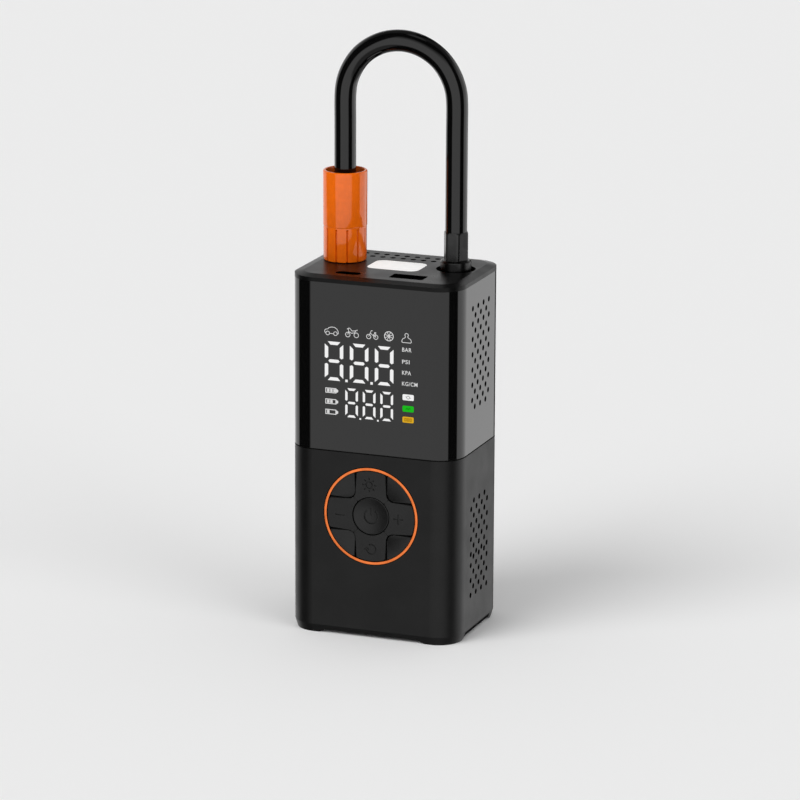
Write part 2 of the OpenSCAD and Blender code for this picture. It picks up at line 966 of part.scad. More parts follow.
module display_board() {
    color(board_green)
        block([-display_w / 2 - 1, -body_d / 2 + display_back, display_z - 2],
            [display_w + 2, board_t, display_h + 2]);
}

// Chips on the main board: place along it, height up it, and width, thickness and height
chips = [[10, 34, [9, 3, 9]], [24, 36, [7, 1.6, 7]], [26, 48, [5, 1.2, 4]]];
capacitors = 3;
capacitor_r = 3.2;
capacitor_h = 6;
capacitor_pitch = 8;

module main_board() {
    color(board_green)
        block([main_board_x, main_board_y, main_board_z], [main_board_w, board_t, main_board_h]);
    color(matte_black)
        for (chip = chips)
            pad(main_board_x + chip[0], main_board_y - chip[2][1] / 2, main_board_z + chip[1],
                chip[2][0], chip[2][1], chip[2][2]);
    color(bright_metal)
        for (i = [0:capacitors - 1])
            translate([main_board_x + 5 + i * capacitor_pitch, main_board_y, main_board_z + 56])
                rotate([90, 0, 0])
                    cylinder(h = capacitor_h, r = capacitor_r);
}

// ---- Battery ----

module battery_holder() {
    pocket_r = cell_r + fit_gap;
    outer_r = pocket_r + holder_wall;
    window_inset = 5;
    window_z = 9;
    color(inner_grey)
        difference() {
            union() {
                for (y = [back_cell_y, front_cell_y])
                    post(cell_x, y, holder_z, outer_r, holder_h);
                block([cell_x - outer_r, front_cell_y, holder_z], [2 * outer_r, cell_pitch, holder_h]);
            }
            for (y = [back_cell_y, front_cell_y])
                post(cell_x, y, holder_z + holder_wall, pocket_r, holder_h);
            block([cell_x - window_inset, front_cell_y - 2 * outer_r, holder_z + window_z],
                [4 * outer_r, 6 * outer_r, cell_l - 2 * window_z]);
            block([cell_x - link_w / 2, front_cell_y, holder_z + holder_wall],
                [link_w, cell_pitch, holder_h]);
        }
}

module battery_cells() {
    top = holder_z + holder_wall + cell_l;
    for (y = [back_cell_y, front_cell_y]) {
        color(cell_blue)
            post(cell_x, y, holder_z + holder_wall, cell_r, cell_l);
        color(bright_metal)
            post(cell_x, y, top - eps, cell_cap_r, cell_cap_h + eps);
    }
    color(bright_metal)
        pad(cell_x, (back_cell_y + front_cell_y) / 2, top + cell_cap_h, link_w, cell_pitch + link_w, link_t);
}

// ---- Pump ----

// Involute of the pressure angle whose cosine is c, in degrees
function involute(c) = (tan(acos(c)) - acos(c) * PI / 180) * 180 / PI;

// Half the angle of a tooth at radius r
function tooth_half_angle(teeth, r) =
    let (pitch_r = gear_module * teeth / 2, base_r = pitch_r * cos(20))
        90 / teeth - backlash / (2 * pitch_r) * 180 / PI / 2
            + involute(cos(20)) - involute(min(1, base_r / r));

// Flat outline of a spur gear with involute flanks, one tooth along +X
module gear_outline(teeth) {
    pitch_r = gear_module * teeth / 2;
    root_r = pitch_r - 1.25 * gear_module;
    tip_r = pitch_r + 0.8 * gear_module;
    flank_r = max(root_r, pitch_r * cos(20));
    flank = [for (i = [0:3]) flank_r + (tip_r - flank_r) * i / 3];
    polygon([
        for (tooth = [0:teeth - 1])
            let (
                mid = 360 * tooth / teeth,
                side = concat([root_r], flank)
            )
                each concat(
                    [for (r = side) r * [cos(mid - tooth_half_angle(teeth, max(r, flank_r))),
                        sin(mid - tooth_half_angle(teeth, max(r, flank_r)))]],
                    [for (i = [len(side) - 1:-1:0])
                        let (r = side[i])
                            r * [cos(mid + tooth_half_angle(teeth, max(r, flank_r))),
                                sin(mid + tooth_half_angle(teeth, max(r, flank_r)))]]
                )
    ]);
}

// Spur gear on an axis along X, with one tooth up when turn is 0
module gear_x_axis(x, z, teeth, t, turn) {
    translate([x, pump_y, z])
        rotate([0, 90, 0])
            linear_extrude(t)
                rotate(180 + turn)
                    gear_outline(teeth);
}

// Side web that braces the shelf of the pump frame
module shelf_web(y) {
    translate([0, y, 0])
        rotate([90, 0, 0])
            translate([0, 0, -web_t / 2])
                linear_extrude(web_t)
                    polygon([
                        [frame_t - eps, shelf_top - shelf_t - web_h],
                        [frame_t - eps, shelf_top - shelf_t + eps],
                        [frame_t + web_w, shelf_top - shelf_t + eps]
                    ]);
}

module pump_frame() {
    shelf_w = bore_x + cylinder_r + 1;
    color(inner_grey)
        difference() {
            union() {
                block([0, pump_y - frame_half, base_top], [frame_t, 2 * frame_half, shelf_top - base_top]);
                block([0, pump_y - frame_half, base_top], [frame_t + foot_w, 2 * frame_half, shelf_t]);
                block([0, pump_y - frame_half, shelf_top - shelf_t], [shelf_w, 2 * frame_half, shelf_t]);
                shelf_web(pump_y - frame_half + web_t / 2);
                shelf_web(pump_y + frame_half - web_t / 2);
                bar_x(-bearing_l, pump_y, crank_z, bearing_r, bearing_l + eps);
            }
            bar_x(-bearing_l - 1, pump_y, crank_z, crank_shaft_r + run_gap, bearing_l + frame_t + 2);
            bar_x(-1, pump_y, motor_z, motor_boss_r + fit_gap, frame_t + 2);
            for (y = [-1, 1])
                bar_x(-1, pump_y + y * motor_screw_reach, motor_z, motor_screw_r + fit_gap, frame_t + 2);
            post(bore_x, pump_y, shelf_top - shelf_t - 1, bore_r - shelf_lip, shelf_t + 2);
        }
}

module motor() {
    tab_l = 1.2;
    tab_w = 2;
    tab_t = 0.8;
    tab_reach = 7;
    color(bright_metal)
        difference() {
            union() {
                bar_x(-motor_l, pump_y, motor_z, motor_d / 2, motor_l);
                bar_x(-eps, pump_y, motor_z, motor_boss_r, motor_boss_h);
            }
            bar_x(-pinion_shaft_bite - 1, pump_y, motor_z, motor_shaft_r + run_gap,
                pinion_shaft_bite + motor_boss_h + 2);
            for (y = [-1, 1])
                bar_x(-motor_screw_bite - 1, pump_y + y * motor_screw_reach, motor_z,
                    motor_screw_r + run_gap, motor_screw_bite + 2);
        }
    color(brass_yellow)
        for (y = [-1, 1])
            translate([-motor_l - tab_l, pump_y + tab_reach * y - tab_w / 2, motor_z - tab_t / 2])
                cube([tab_l + eps, tab_w, tab_t]);
}

module motor_screws() {
    color(dark_metal)
        for (y = [-1, 1]) {
            bar_x(frame_t, pump_y + y * motor_screw_reach, motor_z, screw_head_d / 2,
                motor_screw_head_h);
            bar_x(-motor_screw_bite, pump_y + y * motor_screw_reach, motor_z, motor_screw_r,
                frame_t + motor_screw_bite + eps);
        }
}

module motor_pinion() {
    color(brass_yellow) {
        gear_x_axis(gear_x - pinion_margin, motor_z, pinion_teeth, gear_t + 2 * pinion_margin,
            180 / pinion_teeth);
        bar_x(-pinion_shaft_bite, pump_y, motor_z, motor_shaft_r, gear_x + gear_t + pinion_shaft_bite);
    }
}

module crank_gear() {
    hole_r = 2.6;
    hole_reach = crank_gear_r * 0.62;
    color(bright_metal) {
        difference() {
            gear_x_axis(gear_x, crank_z, crank_teeth, gear_t, 0);
            for (turn = [60, 120, 180, 240, 300])
                translate([0, pump_y, crank_z])
                    rotate([turn, 0, 0])
                        bar_x(gear_x - 1, 0, hole_reach, hole_r, gear_t + 2);
        }
        bar_x(-bearing_l, pump_y, crank_z, crank_shaft_r, gear_x + bearing_l + eps);
        bar_x(gear_x + gear_t - eps, pump_y, pin_z, crank_pin_r,
            rod_x - crank_pin_gap - gear_x - gear_t + eps);
    }
}

module piston_rod() {
    piston_r = bore_r - piston_gap;
    groove_h = 1;
    groove_depth = 0.7;
    slot_w = 2.4;
    color(bright_metal)
        difference() {
            union() {
                bar_x(rod_x, pump_y, pin_z, big_end_r, rod_t);
                block([rod_x, pump_y - rod_w / 2, pin_z], [rod_t, rod_w, rod_l + eps]);
            }
            bar_x(rod_x - 1, pump_y, pin_z, crank_pin_r + run_gap, rod_t + 2);
            block([rod_x - 1, pump_y - slot_w / 2, pin_z + big_end_r + 2],
                [rod_t + 2, slot_w, rod_l - big_end_r - 6]);
        }
    color(inner_grey)
        difference() {
            post(bore_x, pump_y, piston_z, piston_r, piston_h);
            for (z = [1.4, piston_h - 1.4 - groove_h])
                difference() {
                    post(bore_x, pump_y, piston_z + z, piston_r + 1, groove_h);
                    post(bore_x, pump_y, piston_z + z - 1, piston_r - groove_depth, groove_h + 2);
                }
        }
}

// Positions of the screw lugs round the cylinder
module at_lugs() {
    for (turn = [45:90:315])
        translate([bore_x, pump_y, 0])
            rotate([0, 0, turn])
                translate([lug_reach, 0, 0])
                    children();
}

// Barrel with its bore and cooling fins
module finned_barrel() {
    fins = 5;
    fin_pitch = cylinder_h / fins;
    translate([bore_x, pump_y, shelf_top])
        rotate_extrude() {
            translate([bore_r, 0])
                square([bore_wall, cylinder_h]);
            for (i = [0:fins - 1])
                translate([bore_r, (i + 0.5) * fin_pitch - fin_t / 2])
                    square([bore_wall + fin_w, fin_t]);
        }
}

module pump_cylinder() {
    color(bright_metal)
        difference() {
            union() {
                finned_barrel();
                at_lugs()
                    post(0, 0, shelf_top, lug_r, cylinder_h);
            }
            at_lugs()
                post(0, 0, shelf_top - 1, motor_screw_r + run_gap, cylinder_h + 2);
        }
}

module cylinder_head() {
    color(bright_metal)
        difference() {
            union() {
                post(bore_x, pump_y, head_z, cylinder_r, head_h);
                at_lugs()
                    post(0, 0, head_z, lug_r, head_h);
                post(leg_x, leg_y, head_z + 1, outlet_boss_r, head_h - 1);
                post(leg_x, leg_y, head_top - eps, nipple_r, nipple_h + eps);
                post(leg_x, leg_y, head_top + nipple_h - eps, spout_r, spout_h + eps);
            }
            at_lugs()
                post(0, 0, head_z - 1, motor_screw_r + fit_gap, head_h + 2);
            post(leg_x, leg_y, head_z + 3, air_bore_r, head_h + nipple_h + spout_h);
            translate([bore_x, leg_y, head_z + 3.8])
                rotate([0, 90, 0])
                    cylinder(h = leg_x - bore_x, r = air_bore_r);
            post(bore_x, leg_y, head_z - 1, air_bore_r, 5);
        }
}

module head_screws() {
    bite = 8;
    cap_h = 1.5;
    socket_r = 1.3;
    color(dark_metal)
        at_lugs()
            difference() {
                union() {
                    post(0, 0, head_top, screw_head_d / 2, cap_h);
                    post(0, 0, head_z - bite, motor_screw_r, head_h + bite + eps);
                }
                translate([0, 0, head_top + cap_h / 3])
                    cylinder(h = cap_h, r = socket_r, $fn = 6);
            }
}

module pressure_sensor() {
    x = bore_x - 5;
    foot_h = 2;
    can_h = 3;
    pin_w = 0.5;
    pin_pitch = 1.2;
    color(matte_black) {
        post(x, pump_y, head_top, 3.6, foot_h);
        post(x, pump_y, head_top + foot_h - eps, 2.8, can_h);
    }
    color(brass_yellow)
        for (i = [-1:1])
            pad(x, pump_y + i * pin_pitch, head_top + foot_h + can_h - 2 * eps, pin_w, pin_w, 2);
}

module air_line() {
    low = head_top + nipple_h;
    high = outlet_end - nipple_h;
    color(matte_black)
        difference() {
            post(leg_x, leg_y, low, line_r, high - low);
            post(leg_x, leg_y, low - 1, line_bore_r, high - low + 2);
        }
}

// ---- Hose and chuck ----

module hose_fitting() {
    edge = 0.7;
    flange_r = flange_d / 2;
    color(dark_metal)
        difference() {
            union() {
                post(leg_x, leg_y, fitting_z - thread_h + 0.5, thread_r - run_gap, thread_h);
                post(leg_x, leg_y, fitting_z, flange_r, flange_h - edge);
                translate([leg_x, leg_y, hex_z - edge - eps])
                    cylinder(h = edge + eps, r1 = flange_r, r2 = flange_r - edge);
                translate([leg_x, leg_y, hex_z - eps])
                    cylinder(h = hex_h + eps, r = hex_af / 2 / cos(30), $fn = 6);
            }
            post(leg_x, leg_y, fitting_z - thread_h, air_bore_r, thread_h + flange_h + hex_h + 1);
        }
}

// Direction of the route at point i
function route_way(i) =
    let (
        last = len(hose_route) - 1,
        way = hose_route[min(i + 1, last)] - hose_route[max(i - 1, 0)]
    )
        i == 0 || i == last ? [0, 0, sign(way[2])] : way / norm(way);

// Ring of points round route point i
function hose_ring(i, sides) =
    let (way = route_way(i), side = [0, 1, 0], up = cross(way, side))
        [for (k = [0:sides - 1])
            hose_route[i] + hose_d / 2 * (cos(360 * k / sides) * side + sin(360 * k / sides) * up)];

module air_hose() {
    sides = 12;
    last = len(hose_route) - 1;
    points = [for (i = [0:last]) each hose_ring(i, sides)];
    walls = [
        for (i = [0:last - 1], k = [0:sides - 1])
            let (
                a = i * sides + k,
                b = i * sides + (k + 1) % sides
            )
                each [[a, a + sides, b], [b, a + sides, b + sides]]
    ];
    start_cap = [[for (k = [0:sides - 1]) k]];
    end_cap = [[for (k = [sides - 1:-1:0]) last * sides + k]];
    color(matte_black)
        polyhedron(points, concat(walls, start_cap, end_cap));
}

module chuck_sleeve() {
    grip_step = 0.2;
    flute_end = 0.6;
    grip_r = chuck_d / 2 - grip_step;
    flute_r = 0.7;
    flute_turn = -3;
    color(signal_orange)
        difference() {
            union() {
                post(-leg_x, leg_y, chuck_z, grip_r, grip_h + eps);
                post(-leg_x, leg_y, chuck_z + grip_h, chuck_d / 2, chuck_h - grip_h);
            }
            post(-leg_x, leg_y, chuck_z - 1, grip_bore_r, journal_bottom - chuck_z + 1);
            post(-leg_x, leg_y, journal_bottom - 1, journal_r + run_gap, journal_h + 2);
            post(-leg_x, leg_y, journal_top, cup_r, chuck_top - journal_top + 1);
            for (i = [0:flutes - 1])
                translate([-leg_x, leg_y, 0])
                    rotate([0, 0, flute_turn + i * 360 / flutes])
                        post(grip_r + grip_step, 0, chuck_z - 1, flute_r, grip_h + 1 - flute_end);
        }
}

module chuck_core() {
    color(brass_yellow)
        difference() {
            union() {
                post(-leg_x, leg_y, journal_top + skirt_gap, cup_r - 0.3, collar_h - skirt_gap);
                post(-leg_x, leg_y, journal_bottom - skirt_gap - eps, journal_r,
                    journal_h + 2 * skirt_gap + 2 * eps);
                post(-leg_x, leg_y, core_bottom, skirt_r, journal_bottom - skirt_gap - core_bottom);
            }
            post(-leg_x, leg_y, core_bottom - 1, valve_d / 2, valve_depth + 1);
            post(-leg_x, leg_y, core_bottom, air_bore_r, chuck_h);
        }
}

module chuck_seal() {
    color(matte_black)
        difference() {
            post(-leg_x, leg_y, seal_bottom, valve_d / 2 - run_gap, seal_t);
            post(-leg_x, leg_y, seal_bottom - 1, 1.6, seal_t + 2);
        }
}

lower_housing();
base_cover();
base_screws();
joining_frame();
upper_sleeve();
top_cover();
lamp_lens();
lamp_board();
usb_a_socket();
usb_c_socket();
port_board();
storage_post();
outlet_socket();
keypad_bezel();
button_ring();
power_button();
light_key();
plus_key();
mode_key();
minus_key();
key_guide();
key_board();
display_module();
display_board();
main_board();
battery_holder();
battery_cells();
pump_frame();
motor();
motor_screws();
motor_pinion();
crank_gear();
piston_rod();
pump_cylinder();
cylinder_head();
head_screws();
pressure_sensor();
air_line();
hose_fitting();
air_hose();
chuck_sleeve();
chuck_core();
chuck_seal();
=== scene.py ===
"""Looks of the portable tire inflator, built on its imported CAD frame.

Metres, +Z up, the display faces -Y. Helpers take millimetres, as the part's source does.
"""

import json
import math

import bmesh
import bpy
from mathutils import Matrix, Vector


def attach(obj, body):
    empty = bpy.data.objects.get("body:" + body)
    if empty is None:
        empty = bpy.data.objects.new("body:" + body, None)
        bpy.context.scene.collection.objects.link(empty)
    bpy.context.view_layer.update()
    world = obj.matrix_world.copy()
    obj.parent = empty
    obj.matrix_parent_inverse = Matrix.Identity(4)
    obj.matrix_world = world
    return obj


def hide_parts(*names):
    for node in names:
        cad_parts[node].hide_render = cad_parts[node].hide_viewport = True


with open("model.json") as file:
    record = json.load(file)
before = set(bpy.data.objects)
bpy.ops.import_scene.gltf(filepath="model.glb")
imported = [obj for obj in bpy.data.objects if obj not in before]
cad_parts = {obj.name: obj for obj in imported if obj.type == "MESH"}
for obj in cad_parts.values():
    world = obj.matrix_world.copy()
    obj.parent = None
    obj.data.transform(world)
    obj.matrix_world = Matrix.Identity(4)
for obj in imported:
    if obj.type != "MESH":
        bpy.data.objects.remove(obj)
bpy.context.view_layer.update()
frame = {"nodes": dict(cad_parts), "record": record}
NODES = frame["nodes"]
MM = 0.001

# ------------------------------------------------------------------ sizes in mm

FRONT_Y = -26.5  # front face of both shells
SIDE_X = 35  # side faces of both shells
PLATE_Z = 143.25  # flat top of the cover

LEG_X, LEG_Y = 23.0, 4.7  # hose legs: fitting at +X, chuck at -X
HOSE_D = 8.5
HOSE_ROUTE = [(x, LEG_Y, z) for x, z in (
    (23, 158), (23, 170), (23, 183), (23, 196), (23, 208), (22.2, 214), (19.9, 219.5),
    (16.3, 224.3), (11.5, 227.9), (6, 230.2), (0, 231), (-6, 230.2), (-11.5, 227.9),
    (-16.3, 224.3), (-19.9, 219.5), (-22.2, 214), (-23, 208), (-23, 198), (-23, 188),
    (-23, 178), (-23, 168),
)]

KEY_Z = 49.54  # centre of the keypad
KEY_FRONT = FRONT_Y + 0.1  # face of the keys
KEY_BACK = KEY_FRONT + 3.4
ARM_HALF = 6.3  # half the width of an arm of the cross
ARM_END = 18.0  # reach of the arms from the centre
POWER_R = 7.4  # radius of the round button
RING_INNER = 18.3  # inner radius of the orange ring and of the bezel's flange
MARK_SPOTS = {  # centre of each key's sign
    "light": (-0.6, KEY_Z + 12.6), "minus": (-12.8, KEY_Z - 0.6),
    "mode": (0.3, KEY_Z - 13.2), "plus": (11.4, KEY_Z), "power": (-0.2, KEY_Z - 0.3),
}

PROUD = FRONT_Y - 0.02  # front of the display's marks
SUNK = FRONT_Y + 0.05  # back of the display's marks, in the shell


# ------------------------------------------------------------------ shader helpers


def add_node(tree, kind, inputs=None, **settings):
    """New shader node. Each input, by name or number, is set to a value or fed by a socket."""
    node = tree.nodes.new(kind)
    for name, value in settings.items():
        setattr(node, name, value)
    for key, value in (inputs or {}).items():
        if isinstance(value, bpy.types.NodeSocket):
            tree.links.new(value, node.inputs[key])
        else:
            node.inputs[key].default_value = value
    return node


def calculate(tree, operation, first, second=0.0):
    """Result of a Math node."""
    return add_node(tree, "ShaderNodeMath", {0: first, 1: second}, operation=operation).outputs[0]


def rescale(tree, value, low, high, to_low=0.0, to_high=1.0):
    """Maps low to to_low and high to to_high, and clamps what lies outside."""
    return add_node(tree, "ShaderNodeMapRange", {
        "Value": value, "From Min": low, "From Max": high, "To Min": to_low, "To Max": to_high,
    }).outputs["Result"]


def grey_ramp(tree, factor, stops):
    """Grey that follows a factor of 0 to 1; the stops' places run from -1 to 1."""
    node = add_node(tree, "ShaderNodeValToRGB", {0: factor})
    ramp = node.color_ramp
    while len(ramp.elements) < len(stops):
        ramp.elements.new(0.5)
    for element, (place, level) in zip(ramp.elements, stops):
        element.position = place / 2 + 0.5
        element.color = (level, level, level, 1)
    return node.outputs["Color"]


def blend(tree, factor, first, second):
    """Colour that goes from the first to the second."""
    return add_node(
        tree, "ShaderNodeMix", {"Factor": factor, "A": first, "B": second}, data_type="RGBA",
    ).outputs["Result"]


# ------------------------------------------------------------------ camera, light, floor


def place_camera():
    """Camera at the photograph's viewing angle, looking at the middle of the object."""
    azimuth, elevation, roll = (math.radians(a) for a in (20.754, 14.590, 0.246))
    distance, target = 1.73275, Vector((0.001914, 0, 0.08993))
    back = Vector((
        math.sin(azimuth) * math.cos(elevation),
        -math.cos(azimuth) * math.cos(elevation),
        math.sin(elevation),
    ))
    right = Vector((math.cos(azimuth), math.sin(azimuth), 0))
    up = back.cross(right)
    across = right * math.cos(roll) + up * math.sin(roll)
    upright = up * math.cos(roll) - right * math.sin(roll)
    turn = Matrix((across, upright, back)).transposed()
    lens = bpy.data.cameras.new("camera")
    lens.lens = 199.8
    lens.sensor_width = 36
    lens.clip_start, lens.clip_end = 0.01, 50
    camera = bpy.data.objects.new("camera", lens)
    bpy.context.scene.collection.objects.link(camera)
    camera.matrix_world = Matrix.Translation(target + back * distance) @ turn.to_4x4()
    bpy.context.scene.camera = camera


def light_world():
    """Even white surroundings; glossy surfaces also see three dark flags that stand in them."""
    world = bpy.data.worlds.new("studio")
    bpy.context.scene.world = world
    world.use_nodes = True
    tree = world.node_tree
    tree.nodes.clear()
    coords = add_node(tree, "ShaderNodeTexCoord")
    x, y, z = add_node(tree, "ShaderNodeSeparateXYZ", {0: coords.outputs["Generated"]}).outputs

    # The flags by azimuth in degrees: 0 in front of the object, 90 at its right.
    azimuth = calculate(tree, "ARCTAN2", x, calculate(tree, "MULTIPLY", y, -1))
    strong, bright, dark = 1.3, 1.05, 0.012
    stops = [
        (-180, dark), (-173, dark), (-170, bright), (-93, bright), (-90, dark), (-32, dark),
        (-29, bright), (54, bright), (57, dark), (96, dark), (99, strong), (166, strong),
        (169, dark), (180, dark),
    ]
    around = rescale(tree, azimuth, -math.pi, math.pi)
    flags = grey_ramp(tree, around, [(degrees / 180, level) for degrees, level in stops])

    # All of it fades towards the floor and the ceiling, in one way in front and another behind.
    height = rescale(tree, z, -1, 1)
    front_fade = grey_ramp(tree, height, [(-0.62, 0.3), (-0.5, 1.0), (0.45, 1.0), (0.8, 0.0)])
    back_fade = grey_ramp(tree, height, [
        (-0.62, 0.3), (-0.5, 1.0), (-0.1, 1.0), (0.1, 0.75), (0.4, 0.65), (0.62, 0.1),
    ])
    behind = rescale(tree, y, -0.2, 0.2)
    fade = add_node(tree, "ShaderNodeMix", {"Factor": behind, "A": front_fade, "B": back_fade})
    dimmed = add_node(tree, "ShaderNodeVectorMath", {
        0: flags, "Scale": fade.outputs["Result"],
    }, operation="SCALE")

    # A small grey panel straight overhead; then what each kind of ray sees.
    panel, plain, backdrop = ((level, level, level, 1) for level in (0.45, 0.5, 0.83))
    overhead = rescale(tree, z, 0.975, 0.99)
    mirrored = blend(tree, overhead, dimmed.outputs["Vector"], panel)
    path = add_node(tree, "ShaderNodeLightPath")
    shone = blend(tree, path.outputs["Is Glossy Ray"], plain, mirrored)
    seen = blend(tree, path.outputs["Is Camera Ray"], shone, backdrop)
    background = add_node(tree, "ShaderNodeBackground", {"Color": seen})
    add_node(tree, "ShaderNodeOutputWorld", {"Surface": background.outputs[0]})


def sun(name, towards, strength):
    """A very soft distant lamp that stands in the given direction."""
    light = bpy.data.lights.new(name, "SUN")
    light.angle = math.radians(40)
    light.energy = strength
    holder = bpy.data.objects.new(name, light)
    bpy.context.scene.collection.objects.link(holder)
    holder.location = towards
    holder.rotation_euler = (-Vector(towards)).to_track_quat("-Z", "Y").to_euler()
    holder.visible_glossy = False


def lay_floor():
    """Wide pale floor; reflections look past it at the surroundings."""
    mesh = bpy.data.meshes.new("floor")
    build = bmesh.new()
    bmesh.ops.create_circle(build, cap_ends=True, radius=6, segments=96)
    build.to_mesh(mesh)
    build.free()
    floor = bpy.data.objects.new("floor", mesh)
    bpy.context.scene.collection.objects.link(floor)
    paper = finish_of("floor_paper", (0.9, 0.9, 0.9), 0.9, specular=0.0)
    tree = paper.node_tree
    path = add_node(tree, "ShaderNodeLightPath")
    clear = add_node(tree, "ShaderNodeBsdfTransparent")
    mix = add_node(tree, "ShaderNodeMixShader", {
        0: path.outputs["Is Glossy Ray"],
        1: tree.nodes["Principled BSDF"].outputs[0],
        2: clear.outputs[0],
    })
    tree.links.new(mix.outputs[0], tree.nodes["Material Output"].inputs["Surface"])
    mesh.materials.append(paper)


# ------------------------------------------------------------------ materials


def finish_of(name, colour, roughness, metallic=0.0, specular=0.5):
    """A new material; colours are linear."""
    material = bpy.data.materials.new(name)
    material.use_nodes = True
    shader = material.node_tree.nodes["Principled BSDF"]
    shader.inputs["Base Color"].default_value = (*colour, 1)
    shader.inputs["Roughness"].default_value = roughness
    shader.inputs["Metallic"].default_value = metallic
    shader.inputs["Specular IOR Level"].default_value = specular
    material.diffuse_color = (*colour, 1)
    return material


def feed(material, name, socket):
    """Lets a socket drive an input of the material's shader."""
    tree = material.node_tree
    tree.links.new(socket, tree.nodes["Principled BSDF"].inputs[name])


def noise_of(material, scale, detail=3.0):
    """Noise that stays fixed on the object."""
    coords = add_node(material.node_tree, "ShaderNodeTexCoord")
    return add_node(material.node_tree, "ShaderNodeTexNoise", {
        "Vector": coords.outputs["Object"], "Scale": scale, "Detail": detail,
    }).outputs["Fac"]


def vary_roughness(material, low, high, scale):
    """Gloss that changes from place to place."""
    noise = noise_of(material, scale)
    feed(material, "Roughness", rescale(material.node_tree, noise, 0.3, 0.7, low, high))


def vary_colour(material, first, second, scale):
    """Faint mottling between two colours."""
    ramp = add_node(material.node_tree, "ShaderNodeValToRGB", {"Fac": noise_of(material, scale)})
    for element, place, colour in zip(ramp.color_ramp.elements, (0.35, 0.65), (first, second)):
        element.position = place
        element.color = (*colour, 1)
    feed(material, "Base Color", ramp.outputs["Color"])


def roughen(material, scale, strength, distance):
    """Fine moulded texture: bumps of the given height in metres."""
    bump = add_node(material.node_tree, "ShaderNodeBump", {
        "Strength": strength, "Distance": distance, "Height": noise_of(material, scale, 2.0),
    })
    feed(material, "Normal", bump.outputs["Normal"])


def plastic(name, colour, roughness, specular=0.5, grain=2600, strength=0.25, spread=0.04):
    """Moulded plastic: faint mottling, uneven gloss and a fine tool texture."""
    material = finish_of(name, colour, roughness, specular=specular)
    darker, lighter = (tuple(c * share for c in colour) for share in (0.96, 1.04))
    vary_colour(material, darker, lighter, scale=420)
    vary_roughness(material, roughness - spread, roughness + spread, scale=90)
    roughen(material, grain, strength, distance=0.00004)
    return material


def metal(name, colour, roughness):
    """Machined or pressed metal: tone and gloss change a little along it."""
    material = finish_of(name, colour, roughness, metallic=1.0)
    darker, lighter = (tuple(min(1, c * share) for c in colour) for share in (0.88, 1.08))
    vary_colour(material, darker, lighter, scale=220)
    vary_roughness(material, roughness - 0.05, roughness + 0.05, scale=140)
    roughen(material, scale=1800, strength=0.15, distance=0.00003)
    return material


def glow(name, colour, strength):
    """Lit mark of the display."""
    material = finish_of(name, tuple(c * 0.02 for c in colour), 0.3, specular=0.1)
    shader = material.node_tree.nodes["Principled BSDF"]
    shader.inputs["Emission Color"].default_value = (*colour, 1)
    shader.inputs["Emission Strength"].default_value = strength
    return material


def paint_hole_shade(material, reach):
    """Painted shade: blackens hole walls where |x|, |y| and z are all under the three values of
    reach, in mm.
    """
    tree = material.node_tree
    coords = add_node(tree, "ShaderNodeTexCoord")
    x, y, z = add_node(tree, "ShaderNodeSeparateXYZ", {0: coords.outputs["Object"]}).outputs
    inside = calculate(tree, "LESS_THAN", z, reach[2] * MM)
    for place, limit in zip((x, y), reach):
        near = calculate(tree, "LESS_THAN", calculate(tree, "ABSOLUTE", place), limit * MM)
        inside = calculate(tree, "MULTIPLY", inside, near)
    # Painted shade: inside the holes the finish turns to rough black metal, which reflects almost
    # nothing.
    gloss = tree.nodes["Principled BSDF"].inputs["Roughness"].links[0].from_socket
    feed(material, "Roughness", calculate(tree, "MAXIMUM", gloss, inside))
    feed(material, "Metallic", inside)


# ------------------------------------------------------------------ mesh helpers


def add_piece(name, mesh, material, body, angle=35):
    """Puts a mesh in the scene, smooth across edges flatter than the angle, riding on a body."""
    mesh.materials.append(material)
    mesh.validate()
    mesh.shade_smooth()
    mesh.set_sharp_from_angle(angle=math.radians(angle))
    piece = bpy.data.objects.new(name, mesh)
    bpy.context.scene.collection.objects.link(piece)
    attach(piece, body)
    return piece


def mesh_from(name, build):
    """Finished mesh of a build, with its faces turned outwards."""
    bmesh.ops.recalc_face_normals(build, faces=build.faces)
    mesh = bpy.data.meshes.new(name)
    build.to_mesh(mesh)
    build.free()
    return mesh


def full_turn(sides):
    """Angles of a full turn in radians."""
    return [2 * math.pi * k / sides for k in range(sides)]


def verts_at(build, spots):
    """New vertices at spots in mm."""
    return [build.verts.new(Vector(spot) * MM) for spot in spots]


def skin(build, rings, wrap=False):
    """Faces between neighbouring closed rings; wrap also joins the last ring to the first."""
    for one, two in zip(rings, rings[1:] + rings[:1] if wrap else rings[1:]):
        for k in range(len(one)):
            n = (k + 1) % len(one)
            build.faces.new((one[k], one[n], two[n], two[k]))


def lathe(build, profile, sides, spot_of):
    """Turns a closed profile of pairs; spot_of(first, second, angle) gives each vertex in mm."""
    grid = [
        verts_at(build, [spot_of(first, second, angle) for first, second in profile])
        for angle in full_turn(sides)
    ]
    skin(build, grid, wrap=True)


def prism(build, outline, front, back):
    """Closed plate over an outline of (x, z) in mm, between two planes of constant y."""
    near = verts_at(build, [(x, front, z) for x, z in outline])
    far = verts_at(build, [(x, back, z) for x, z in outline])
    face = build.faces.new(near)
    build.faces.new(reversed(far))
    for i in range(len(near)):
        n = (i + 1) % len(near)
        build.faces.new((near[n], near[i], far[i], far[n]))
    return face


